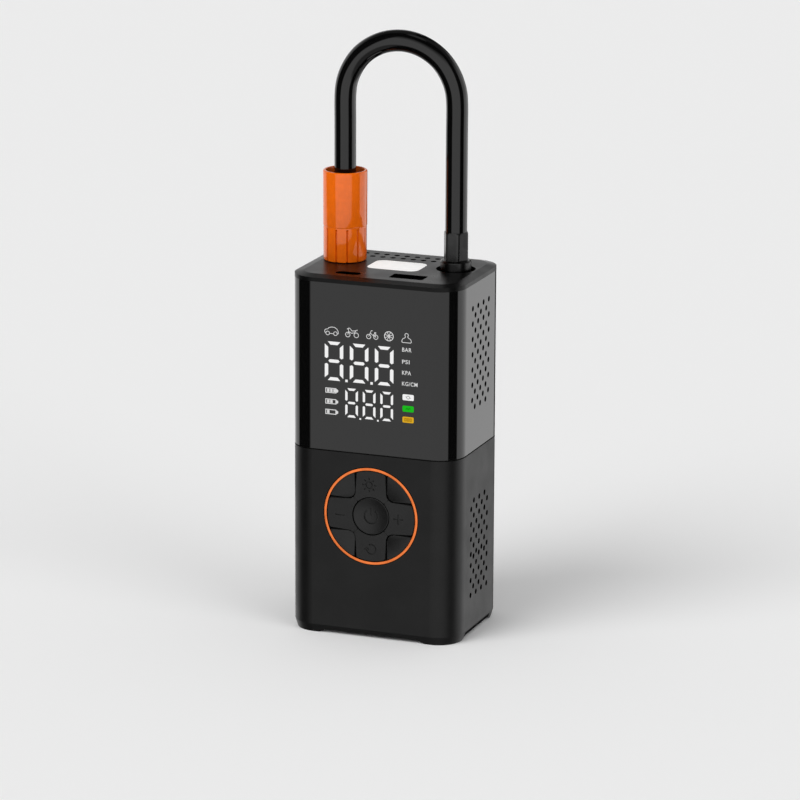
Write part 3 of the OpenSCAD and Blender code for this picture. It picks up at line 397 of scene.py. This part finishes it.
def stroke(build, points, width, front, back, closed=False):
    """Closed flat ribbon along points of (x, z) in mm."""
    points = [Vector(p) for p in points]
    count = len(points)
    left, right = [], []
    for i, point in enumerate(points):
        before = points[i - 1] if closed or i > 0 else None
        after = points[(i + 1) % count] if closed or i < count - 1 else None
        ways = []
        if before is not None:
            ways.append((point - before).normalized())
        if after is not None:
            ways.append((after - point).normalized())
        normals = [Vector((-w.y, w.x)) for w in ways]
        middle = sum(normals, Vector((0, 0))).normalized()
        reach = width / 2 / max(0.5, middle.dot(normals[0]))
        left.append(point + middle * reach)
        right.append(point - middle * reach)
    if not closed:
        prism(build, [tuple(p) for p in left + right[::-1]], front, back)
        return
    loops = [
        verts_at(build, [(p.x, y, p.y) for p in side])
        for side, y in ((left, front), (right, front), (right, back), (left, back))
    ]
    skin(build, loops, wrap=True)


def arc(centre, radius, start, end, steps):
    """Points of an arc, angles in degrees."""
    out = []
    for k in range(steps + 1):
        angle = math.radians(start + (end - start) * k / steps)
        out.append((centre[0] + radius * math.cos(angle), centre[1] + radius * math.sin(angle)))
    return out


def rounded(left, right, low, high, r):
    """Outline of an upright rectangle with round corners."""
    corners = (
        (right - r, high - r, 0), (left + r, high - r, 90),
        (left + r, low + r, 180), (right - r, low + r, 270),
    )
    return [p for x, z, start in corners for p in arc((x, z), r, start, start + 90, 4)]


def turned(points, degrees, centre=(0, 0)):
    """Points turned about the origin, then moved to the centre."""
    c, s = math.cos(math.radians(degrees)), math.sin(math.radians(degrees))
    return [(x * c - z * s + centre[0], x * s + z * c + centre[1]) for x, z in points]


# ------------------------------------------------------------------ hose, chuck and fitting


def spline_points(route, steps):
    """Catmull-Rom curve through the route's points."""
    out = []
    last = len(route) - 1
    for i in range(last):
        a, b = Vector(route[max(i - 1, 0)]), Vector(route[i])
        c, d = Vector(route[i + 1]), Vector(route[min(i + 2, last)])
        for k in range(steps):
            t = k / steps
            out.append(0.5 * (
                2 * b + (c - a) * t + (2 * a - 5 * b + 4 * c - d) * t * t
                + (3 * b - a - 3 * c + d) * t ** 3
            ))
    out.append(Vector(route[-1]))
    return out


def tube_mesh(name, points, radius, sides):
    """Closed tube round points (mm) that lie in one plane of constant y."""
    build = bmesh.new()
    side = Vector((0, 1, 0))
    rings = []
    last = len(points) - 1
    for i, point in enumerate(points):
        way = (points[min(i + 1, last)] - points[max(i - 1, 0)]).normalized()
        across = way.cross(side).normalized()
        rings.append(verts_at(build, [
            point + (across * math.cos(angle) + side * math.sin(angle)) * radius
            for angle in full_turn(sides)
        ]))
    skin(build, rings)
    build.faces.new(reversed(rings[0]))
    build.faces.new(rings[-1])
    return mesh_from(name, build)


def make_hose(rubber):
    """Stiff hose in one loop from the fitting to the chuck."""
    points = spline_points(HOSE_ROUTE, 5)
    mesh = tube_mesh("hose", points, HOSE_D / 2, 40)
    hose = add_piece("hose", mesh, rubber, "case")
    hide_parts("air_hose")


def make_chuck(orange):
    """Fluted grip, plain barrel and the cup that the hose goes into."""
    bottom, grip_top, top = 143.45, 157.15, 178.95
    cup_floor, journal_bottom = 164, 158
    grip_r, barrel_r, cup_r, journal_r, bore_r = 8.45, 8.65, 7.55, 5.15, 6.5
    flute_half, flute_depth, flute_end, flute_fade = 0.42, 0.7, 156.55, 0.7
    flute_pitch, flute_phase = 30, 3  # degrees

    def fluted(r, z, angle):
        """The grip's radius where a flute is cut in it, and r elsewhere."""
        if r < grip_r - 0.5 or z > flute_end + 0.01:
            return r
        turn = math.degrees(angle) + flute_phase
        off = (turn + flute_pitch / 2) % flute_pitch - flute_pitch / 2
        across = grip_r * math.sin(math.radians(off)) / flute_half
        if abs(across) >= 1:
            return r
        fade = min(1, max(0, (flute_end - z) / flute_fade))
        return r - flute_depth * math.sqrt((1 - across ** 2) * fade)

    def spot_of(radius, z, angle):
        r = fluted(radius, z, angle)
        return -LEG_X + r * math.cos(angle), LEG_Y + r * math.sin(angle), z

    fading = [(grip_r, flute_end - below) for below in (0.95, 0.7, 0.45, 0.25, 0.1, 0, -0.05)]
    profile = [
        (bore_r, bottom), (grip_r - 0.45, bottom), (grip_r - 0.12, bottom + 0.12),
        (grip_r, bottom + 0.45), *fading, (grip_r, grip_top - 0.05), (grip_r + 0.05, grip_top),
        (barrel_r - 0.05, grip_top + 0.1), (barrel_r, grip_top + 0.25), (barrel_r, top - 0.5),
        (barrel_r - 0.07, top - 0.25), (barrel_r - 0.22, top - 0.08), (barrel_r - 0.45, top),
        (cup_r + 0.3, top), (cup_r + 0.08, top - 0.08), (cup_r, top - 0.3), (cup_r, cup_floor),
        (journal_r, cup_floor), (journal_r, journal_bottom), (bore_r, journal_bottom),
    ]
    build = bmesh.new()
    lathe(build, profile, 360, spot_of)
    chuck = add_piece("chuck", mesh_from("chuck", build), orange, "chuck", angle=40)
    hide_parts("chuck_sleeve")


def make_fitting(dark):
    """Round flange with bevelled rim and chamfered hexagon; the hose is pressed into its top."""
    apothem = 8.7 / 2
    corner = apothem / math.cos(math.pi / 6)

    def hexagon(limit):
        def radius_at(angle):
            off = (math.degrees(angle) % 60) - 30
            return min(apothem / math.cos(math.radians(off)), corner - 0.12, limit)
        return radius_at

    def disc(r):
        return lambda angle: r

    def spot_of(z, radius_at, angle):
        r = radius_at(angle)
        return LEG_X + r * math.cos(angle), LEG_Y + r * math.sin(angle), z

    bore, plug, flange, neck, cup = (disc(r) for r in (0.8, 3.55, 6.0, 5.15, 4.25))
    hexagon_side = hexagon(9)  # a limit beyond its corners
    profile = [
        (136.5, bore), (136.5, disc(3.2)), (136.9, plug), (141.4, plug),
        (141.4, disc(5.8)), (141.6, flange), (146.2, flange), (146.45, disc(5.9)),
        (146.95, disc(5.4)), (147.0, neck), (147.05, hexagon_side), (157.3, hexagon_side),
        (157.7, hexagon(4.7)), (158.0, hexagon(4.5)), (158.0, cup), (157.0, cup), (157.0, bore),
    ]
    build = bmesh.new()
    lathe(build, profile, 96, spot_of)
    fitting = add_piece("fitting", mesh_from("fitting", build), dark, "case", angle=20)
    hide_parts("hose_fitting")


# ------------------------------------------------------------------ keypad


def keypad_spot(r, y, angle):
    """Spot at a radius and an angle round the keypad's centre."""
    return r * math.cos(angle), y, KEY_Z + r * math.sin(angle)


def key_marks():
    """Engraved sign of each key as strokes: (points, closed), centred on the sign."""
    rays = [(arc((0, 0), 1.3, 0, 345, 23), True)]
    for k in range(8):
        rays.append((turned([(2.0, 0), (2.9, 0)], k * 45), False))
    minus = [([(-2.0, 0), (2.0, 0)], False)]
    plus = minus + [([(0, -2.0), (0, 2.0)], False)]
    cycle = [
        (arc((0, 0), 1.9, 120, -170, 28), False),
        ([(-2.75, -0.35), (-1.9, 0.55), (-0.95, -0.25)], False),
    ]
    power = [(arc((0, 0), 2.75, 125, 415, 36), False), ([(0, 0.4), (0, 3.4)], False)]
    return {"light": rays, "plus": plus, "minus": minus, "mode": cycle, "power": power}


def engrave(piece, sign, front, depth, width):
    """Cuts the strokes of a sign into the front of a piece."""
    for index, (points, closed) in enumerate(key_marks()[sign]):
        build = bmesh.new()
        moved = [(x + MARK_SPOTS[sign][0], z + MARK_SPOTS[sign][1]) for x, z in points]
        stroke(build, moved, width, front - 0.5, front + depth, closed)
        cutter = bpy.data.objects.new("cutter", mesh_from("cutter", build))
        bpy.context.scene.collection.objects.link(cutter)
        cut = piece.modifiers.new(f"cut_{index}", "BOOLEAN")
        cut.operation = "DIFFERENCE"
        cut.solver = "EXACT"
        cut.object = cutter
        bpy.context.view_layer.update()
        shaped = piece.evaluated_get(bpy.context.evaluated_depsgraph_get())
        mesh = bpy.data.meshes.new_from_object(shaped)
        piece.modifiers.remove(cut)
        old = piece.data
        piece.data = mesh
        bpy.data.meshes.remove(old)
        leftover = cutter.data
        bpy.data.objects.remove(cutter)
        bpy.data.meshes.remove(leftover)
    piece.data.shade_smooth()
    piece.data.set_sharp_from_angle(angle=math.radians(28))


def arm_outline():
    """One arm of the cross, pointing up from the keypad's centre."""
    seam, hole_r, corner_r = 0.05, POWER_R + 0.3, 3.1
    middle = ARM_HALF + corner_r
    inner = [p for p in arc((0, 0), hole_r, 90, 44, 12) if p[1] >= p[0] + seam]
    for reach in (hole_r / math.sqrt(2), middle - corner_r / math.sqrt(2)):
        inner.append((reach - seam / 2, reach + seam / 2))
    corner = arc((middle, middle), corner_r, 225, 180, 8)[1:]
    limit = math.degrees(math.acos(ARM_HALF / ARM_END))
    tip = arc((0, 0), ARM_END, limit, 90, 8)
    half = inner + corner + tip
    return half + [(-x, z) for x, z in half[-2:0:-1]]


def is_seam(ends):
    """Whether an edge of the arm that points up lies on a diagonal, where a neighbour begins."""
    return all(abs(abs(x) - z) < 0.2 and 7 < math.hypot(x, z) < 12 for x, z in ends)


def make_arm(name, turn, mark, rubber):
    """One arm of the cross, round-edged but for its seams, with a stem for its switch."""
    build = bmesh.new()
    face = prism(build, turned(arm_outline(), turn, (0, KEY_Z)), KEY_FRONT, KEY_BACK)
    edges = []
    for edge in face.edges:
        ends = [v.co / MM for v in edge.verts]
        if not is_seam(turned([(e.x, e.z - KEY_Z) for e in ends], -turn)):
            edges.append(edge)
    bmesh.ops.bevel(
        build, geom=edges, offset=0.45 * MM, segments=3, profile=0.5, affect="EDGES")
    half, low, high = 1.4, 11.8, 14.6
    stem = turned([(-half, low), (half, low), (half, high), (-half, high)], turn, (0, KEY_Z))
    prism(build, stem, KEY_BACK + 0.05, KEY_BACK + 1.2)
    key = add_piece(name, mesh_from(name, build), rubber, f"{name}_body", angle=28)
    engrave(key, mark, KEY_FRONT, depth=0.35, width=0.55)
    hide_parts(name)


def make_power_button(rubber):
    """Dished round button with a rolled rim."""
    rim, dish, steps = 0.3, 1.3, 14
    dish_r = POWER_R - rim
    ball = (dish_r ** 2 + dish ** 2) / (2 * dish)
    profile = [
        (POWER_R, KEY_BACK), (POWER_R, KEY_FRONT + 0.3), (POWER_R - 0.1, KEY_FRONT + 0.08),
        (POWER_R - rim, KEY_FRONT),
    ]
    for k in range(1, steps):
        r = (dish_r - 0.25) * (1 - k / steps)
        depth = math.sqrt(ball ** 2 - r ** 2) - (ball - dish)
        profile.append((r, KEY_FRONT + depth - 0.02))
    build = bmesh.new()
    rings = [verts_at(build, [keypad_spot(r, y, a) for a in full_turn(96)]) for r, y in profile]
    skin(build, rings)
    build.faces.new(rings[0])
    build.faces.new(rings[-1])
    button = add_piece("power_button", mesh_from("power_button", build), rubber, "power_key_body")
    engrave(button, "power", KEY_FRONT + 1.2, depth=0.25, width=0.65)
    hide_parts("power_button")


def make_fillets(rubber):
    """Bezel: its flange, and four pads between the arms that sink a little towards the centre."""
    build = bmesh.new()
    edge, radius, reach = ARM_HALF + 0.35, 2.75, 18.2
    start = math.degrees(math.asin(edge / reach))
    for turn in (0, 90, 180, 270):
        outline = arc((edge + radius, edge + radius), radius, 180, 270, 8)
        outline += arc((0, 0), reach, start, 90 - start, 14)
        face = prism(build, turned(outline, turn, (0, KEY_Z)), FRONT_Y + 0.05, KEY_BACK - 0.6)
        bmesh.ops.bevel(
            build, geom=list(face.edges), offset=0.25 * MM, segments=2, profile=0.5, affect="EDGES")
    seat, step = FRONT_Y + 1.0, FRONT_Y + 2.25
    slope_start, slope_run, shallow, deep = 17.5, 7.5, 0.12, 0.35
    for vert in build.verts:
        x, y, z = vert.co / MM
        if y < seat:
            sink = min(1, max(0, (slope_start - math.hypot(x, z - KEY_Z)) / slope_run))
            vert.co.y += (shallow + deep * sink) * MM
    flange = [
        (RING_INNER, seat), (19.55, seat), (19.55, step),
        (21.0, step), (21.0, KEY_BACK - 0.1), (RING_INNER, KEY_BACK - 0.1),
    ]
    lathe(build, flange, 96, keypad_spot)
    mesh = mesh_from("keypad_bezel_skin", build)
    bezel = add_piece("keypad_bezel_skin", mesh, rubber, "case", angle=28)
    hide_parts("keypad_bezel")


def make_ring(anodised):
    """Pressed-in ring with softly rounded front edges."""
    outer, front, back, edge = 19.45, FRONT_Y - 0.15, FRONT_Y + 0.85, 0.14
    bends = (math.pi / 8, math.pi / 4, 3 * math.pi / 8)
    section = [(RING_INNER, back), (outer, back), (outer, front + edge)]
    section += [
        (outer - edge + edge * math.cos(a), front + edge - edge * math.sin(a)) for a in bends]
    section += [(outer - edge, front), (RING_INNER + edge, front)]
    section += [
        (RING_INNER + edge - edge * math.sin(a), front + edge - edge * math.cos(a)) for a in bends]
    section.append((RING_INNER, front + edge))
    build = bmesh.new()
    lathe(build, section, 144, keypad_spot)
    ring = add_piece("keypad_ring", mesh_from("keypad_ring", build), anodised, "case", angle=50)
    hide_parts("button_ring")


# ------------------------------------------------------------------ display


def digit(build, left, top, width, height, t):
    """Seven lit segments of one digit, with strokes t wide."""
    full_w, full_h, middle = 7.65, 16.05, 8.02  # size that the outlines below are drawn at
    sx, sz = width / full_w, height / full_h
    bar = 0.93 * t

    def segment(outline, flip_x=False, flip_z=False):
        prism(build, [
            (left + (full_w - x if flip_x else x) * sx, top - (full_h - z if flip_z else z) * sz)
            for x, z in outline
        ], PROUD, SUNK)

    upright = [(0, 1.05), (t, 2.35), (t, 6.5), (0.55 * t, 7.02), (0, 6.6)]
    level = [(1.25, 0), (6.4, 0), (5.3, bar), (2.35, bar)]
    low, high = middle - bar / 2, middle + bar / 2
    for flip_x in (False, True):
        for flip_z in (False, True):
            segment(upright, flip_x, flip_z)
    for flip_z in (False, True):
        segment(level, flip_z=flip_z)
    segment([(1.5, middle), (2.1, low), (5.55, low), (6.15, middle), (5.55, high), (2.1, high)])


def make_digits(white):
    """A large and a small row of three digits, with two points in each."""
    build = bmesh.new()
    for lefts, top, width, height, t, dots, dot_z, dot_r in (
        ((-19.10, -8.74, 1.57), 117.85, 7.65, 15.4, 1.42, (-10.11, 0.26), 102.78, 0.7),
        ((-10.6, -3.36, 3.88), 99.95, 5.24, 11.55, 1.36, (-4.38, 2.89), 88.2, 0.48),
    ):
        for left in lefts:
            digit(build, left, top, width, height, t)
        for x in dots:
            prism(build, arc((x, dot_z), dot_r, 45, 315, 3), PROUD, SUNK)
    digits = add_piece("display_digits", mesh_from("display_digits", build), white, "case")


def make_icons(white):
    """Outline signs over the digits: car, motorcycle, bicycle, wheel and air pump."""
    build = bmesh.new()
    line, fine = 0.24, 0.22

    def draw(points, closed=False, width=line):
        stroke(build, points, width, PROUD, SUNK, closed)

    car = [
        (-19.1, 121.3), (-19.15, 122.1), (-18.7, 122.55), (-17.9, 122.7), (-17.3, 123.3),
        (-16.2, 123.6), (-15.0, 123.5), (-14.1, 122.9), (-13.6, 122.1), (-13.5, 121.2),
        (-13.8, 120.95),
    ]
    draw(car)
    draw([(-16.95, 121.0), (-15.65, 121.0)])
    draw([(-19.1, 121.4), (-18.75, 121.1)])
    for x in (-17.9, -14.7):
        draw(arc((x, 121.08), 0.75, 0, 340, 17), True)

    for x in (-9.6, -6.1):  # motorcycle
        draw(arc((x, 121.2), 0.93, 0, 340, 17), True)
    draw([(-9.6, 121.2), (-9.25, 122.45), (-9.4, 123.6)])
    draw([
        (-9.9, 123.3), (-9.4, 123.75), (-8.8, 123.8), (-7.85, 122.75), (-6.65, 122.9),
        (-5.55, 123.3),
    ])
    draw([(-9.25, 122.45), (-8.05, 121.85), (-6.85, 122.1), (-6.3, 122.9)])

    for x in (-1.0, 1.93):  # bicycle
        draw(arc((x, 121.2), 0.88, 0, 340, 17), True)
    draw([(-1.0, 121.2), (-0.37, 122.6), (0.1, 123.65), (0.6, 123.6)], width=fine)
    draw([(-0.37, 122.6), (0.79, 121.8), (1.65, 122.9)], width=fine)
    draw([(0.79, 121.8), (1.93, 121.2), (1.65, 122.9)], width=fine)
    draw([(1.3, 122.95), (2.1, 122.9)], width=0.3)

    hub = (7.3, 122.05)  # wheel
    draw(arc(hub, 1.8, 0, 350, 35), True, 0.3)
    draw(arc(hub, 0.35, 0, 330, 11), True, 0.35)
    for k in range(8):
        draw(turned([(0.5, 0), (1.7, 0)], k * 45 + 22.5, hub), width=fine)

    flask = [
        (14.15, 122.5), (13.8, 122.0), (13.0, 121.6), (12.65, 121.0), (12.6, 120.4), (13.0, 120.15),
        (16.1, 120.15), (16.5, 120.4), (16.45, 121.0), (16.1, 121.6), (15.3, 122.0), (14.95, 122.5),
    ]
    draw(arc((14.55, 123.1), 0.7, -60, 240, 20))  # air pump
    draw(flask)
    icons = add_piece("display_icons", mesh_from("display_icons", build), white, "case")


def fit(value, values, low, high):
    """Moves a value of a list from the list's own range to low to high."""
    return low + (value - min(values)) / (max(values) - min(values)) * (high - low)


def make_units(white):
    """Pressure units beside the digits, each stretched to its own box."""
    left = 12.75
    for name, words, low, high, right in (
        ("unit_bar", "BAR", 116.53, 118.11, 16.6),
        ("unit_psi", "PSI", 111.76, 113.34, 15.8),
        ("unit_kpa", "KPA", 107.45, 109.03, 16.45),
        ("unit_kg", "KG/CM", 103.1, 104.7, 19.1),
    ):
        words_data = bpy.data.curves.new(name, "FONT")
        words_data.body = words
        words_data.size = 1
        words_data.space_character = 1.12
        words_data.offset = 0.012
        words_data.extrude = 0.02
        holder = bpy.data.objects.new("words", words_data)
        bpy.context.scene.collection.objects.link(holder)
        bpy.context.view_layer.update()
        shaped = holder.evaluated_get(bpy.context.evaluated_depsgraph_get())
        mesh = bpy.data.meshes.new_from_object(shaped)
        bpy.data.objects.remove(holder)
        bpy.data.curves.remove(words_data)
        xs = [v.co.x for v in mesh.vertices]
        zs = [v.co.y for v in mesh.vertices]
        for v in mesh.vertices:
            x, z = fit(v.co.x, xs, left, right), fit(v.co.y, zs, low, high)
            v.co = Vector((x, PROUD if v.co.z > 0 else SUNK, z)) * MM
        mesh.materials.clear()
        unit = add_piece(name, mesh, white, "case")


def make_batteries(white):
    """Three battery signs with a solid cap, from full to low."""
    build = bmesh.new()
    left, right, half = -18.7, -14.5, 0.86
    bar_left, bar_w, bar_step, bar_half = -18.15, 1.0, 1.3, 0.6
    for bars, middle in ((3, 98.38), (2, 94.0), (1, 89.87)):
        shell = [
            (left, middle - half), (right, middle - half), (right, middle + half),
            (left, middle + half),
        ]
        stroke(build, shell, 0.32, PROUD, SUNK, True)
        cap = [
            (-14.34, middle - 0.8), (-13.55, middle - 0.4), (-13.55, middle + 0.4),
            (-14.34, middle + 0.8),
        ]
        prism(build, cap, PROUD, SUNK)
        for k in range(bars):
            x = bar_left + k * bar_step
            prism(build, [
                (x, middle - bar_half), (x + bar_w, middle - bar_half),
                (x + bar_w, middle + bar_half), (x, middle + bar_half),
            ], PROUD, SUNK)
    signs = add_piece("battery_signs", mesh_from("battery_signs", build), white, "case")


def make_badges(white, green, amber):
    """Three lit plates, each with a small sign in a darker tone of its own colour."""
    left, right, corner_r, line = 13.0, 17.6, 0.45, 0.26
    ring = (arc((0, 0), 0.6, 0, 340, 17), True)
    blades = [([(-1.1, 0.3), (-0.6, 0)], False), ([(0.6, 0), (1.1, -0.3)], False)]
    wave = ([(-1.0, -0.4), (-0.45, 0.35), (0.05, -0.35), (0.5, 0.4), (1.0, -0.1)], False)
    boxes = [
        ([(x - 0.3, -0.5), (x - 0.3, 0.5), (x + 0.3, 0.5), (x + 0.3, -0.5)], True)
        for x in (-1.05, 0, 1.05)
    ]
    for name, low, high, colour, tone, sign in (
        ("badge_white", 97.4, 99.76, white, (0.3, 0.3, 0.3), [ring, *blades]),
        ("badge_green", 92.85, 95.25, green, (0.0, 0.2, 0.0), [wave]),
        ("badge_amber", 88.55, 90.9, amber, (0.3, 0.14, 0.0), boxes),
    ):
        plate = bmesh.new()
        prism(plate, rounded(left, right, low, high, corner_r), PROUD, SUNK)
        add_piece(name, mesh_from(name, plate), colour, "case")
        marks = bmesh.new()
        for points, closed in sign:
            spots = turned(points, 0, ((left + right) / 2, (low + high) / 2))
            stroke(marks, spots, line, PROUD - 0.02, SUNK, closed)
        dark, name = glow(name + "_tone", tone, strength=1.0), name + "_sign"
        add_piece(name, mesh_from(name, marks), dark, "case")


# ------------------------------------------------------------------ vents


def make_vent_shade_panels(cloth):
    """Painted shade behind the side vents: near-black cloth panels with a raised hem, which keep
    light from showing through the body.
    """
    half, corner_r, hem = 12.5, 2, 1
    panel_y, hem_y = (-32.45, -32.3), (-32.6, -32.2)  # in the wall, before the turn to the side
    for side, turn in (("left", -90), ("right", 90)):
        for level, low, high in (("lower", 13.5, 57.5), ("upper", 89, 134.5)):
            build = bmesh.new()
            outline = rounded(-half, half, low, high, corner_r)
            prism(build, outline, *panel_y)
            stroke(build, outline, hem, *hem_y, True)
            turned_by = Matrix.Rotation(math.radians(turn), 3, "Z")
            bmesh.ops.rotate(build, cent=(0, 0, 0), matrix=turned_by, verts=build.verts)
            name = f"vent_shade_panel_{level}_{side}"
            add_piece(name, mesh_from(name, build), cloth, "case")


# ------------------------------------------------------------------ the scene


def dress_nodes():
    """Finished materials for the CAD nodes that stay, by slot."""
    finishes = {
        "matte_case": plastic("matte_shell", (0.004, 0.004, 0.004), 0.42, specular=0.29),
        "base_plastic": plastic("base_shell", (0.01, 0.01, 0.01), 0.5),
        "screw_steel": metal("screw_steel_skin", (0.35, 0.35, 0.36), 0.3),
        "frame_plastic": plastic("frame_shell", (0.008, 0.008, 0.008), 0.5),
        "gloss_case": plastic(
            "gloss_shell", (0.002, 0.002, 0.002), 0.05, grain=60, strength=0.02, spread=0.015),
        "cover_plastic": plastic("cover_shell", (0.003, 0.003, 0.003), 0.3, specular=0.15),
        "lamp_lens": plastic(
            "lamp_diffuser_painted_glow", (0.9, 0.91, 0.9), 0.35, specular=0.3, grain=900, strength=0.1),
        "circuit_board": plastic("board_laminate", (0.01, 0.08, 0.03), 0.4),
        "socket_metal": metal("socket_shell", (0.05, 0.05, 0.055), 0.3),
        "keypad_plastic": plastic(
            "keypad_rubber", (0.008, 0.008, 0.008), 0.42, specular=0.35, grain=3200, strength=0.25),
        "inner_plastic": plastic("inner_shell", (0.02, 0.02, 0.022), 0.5),
        "display_block": plastic("display_shell", (0.05, 0.05, 0.05), 0.4),
        "cell_wrap": plastic("cell_wrap_film", (0.03, 0.12, 0.35), 0.3),
        "cast_frame": metal("cast_alloy", (0.5, 0.5, 0.5), 0.45),
        "motor_steel": metal("motor_can", (0.45, 0.45, 0.46), 0.35),
        "pinion_brass": metal("pinion_brass_skin", (0.7, 0.5, 0.2), 0.3),
        "gear_steel": metal("gear_steel_skin", (0.4, 0.4, 0.42), 0.35),
        "line_rubber": plastic("line_rubber_skin", (0.6, 0.6, 0.58), 0.4),
        "core_brass": metal("core_brass_skin", (0.5, 0.33, 0.12), 0.3),
        "socket_brass": metal("socket_brass_skin", (0.5, 0.35, 0.14), 0.3),
        "piston_alloy": metal("piston_alloy_skin", (0.6, 0.6, 0.6), 0.3),
    }
    vents = (SIDE_X - 0.15, 14, 200)  # from just inside the side faces, at any height
    plate = (31, 19.3, PLATE_Z - 0.12)  # from just under the top, and not the bevel
    # Painted shade in the vents of both shells and in the holes of the top cover.
    for slot, reach in (("matte_case", vents), ("gloss_case", vents), ("cover_plastic", plate)):
        paint_hole_shade(finishes[slot], reach)
    # Painted light: the lamp's diffuser is given a faint glow of its own.
    lamp = finishes["lamp_lens"].node_tree.nodes["Principled BSDF"]
    lamp.inputs["Emission Color"].default_value = (0.9, 0.91, 0.9, 1)
    lamp.inputs["Emission Strength"].default_value = 0.15
    for part in frame["record"]["subparts"]:
        slot, node = part["material_slot"], part["node"]
        if slot in finishes:
            materials = NODES[node].data.materials
            materials.clear()
            materials.append(finishes[slot])
    return finishes


bpy.context.scene.view_settings.view_transform = "Standard"
place_camera()
light_world()
sun("key_lamp", (-0.5, -0.9, 0.85), strength=1.6)
sun("fill_lamp", (0.95, -0.4, 0.4), strength=0.9)
lay_floor()

hose_rubber = plastic(
    "hose_rubber_skin", (0.002, 0.002, 0.002), 0.09, grain=1500, strength=0.08, spread=0.02)
orange = plastic("chuck_plastic", (0.76, 0.13, 0.004), 0.08, grain=400, strength=0.03, spread=0.02)
dark_metal = metal("fitting_metal_skin", (0.05, 0.05, 0.05), 0.3)
ring_finish = metal("ring_anodised", (0.86, 0.21, 0.055), 0.2)
white = glow("lit_white", (0.9, 0.9, 0.9), strength=0.95)
faint = glow("lit_faint", (0.9, 0.9, 0.9), strength=0.75)
green = glow("lit_green", (0.005, 0.46, 0.006), strength=1.0)
amber = glow("lit_amber", (0.68, 0.38, 0.01), strength=1.0)
# Painted shade: near-black cloth for the panels behind the side vents.
vent_shade_cloth = plastic(
    "vent_shade_cloth", (0.003, 0.003, 0.003), 0.8, specular=0.1, grain=3000, strength=0.6)
finishes = dress_nodes()
key_rubber = finishes["keypad_plastic"]

make_hose(hose_rubber)
make_chuck(orange)
make_fitting(dark_metal)
for turn, mark in ((0, "light"), (90, "minus"), (180, "mode"), (270, "plus")):
    make_arm(f"{mark}_key", turn, mark, key_rubber)
make_power_button(key_rubber)
make_fillets(key_rubber)
make_ring(ring_finish)
make_digits(white)
make_icons(faint)
make_units(faint)
make_batteries(faint)
make_badges(white, green, amber)
make_vent_shade_panels(vent_shade_cloth)
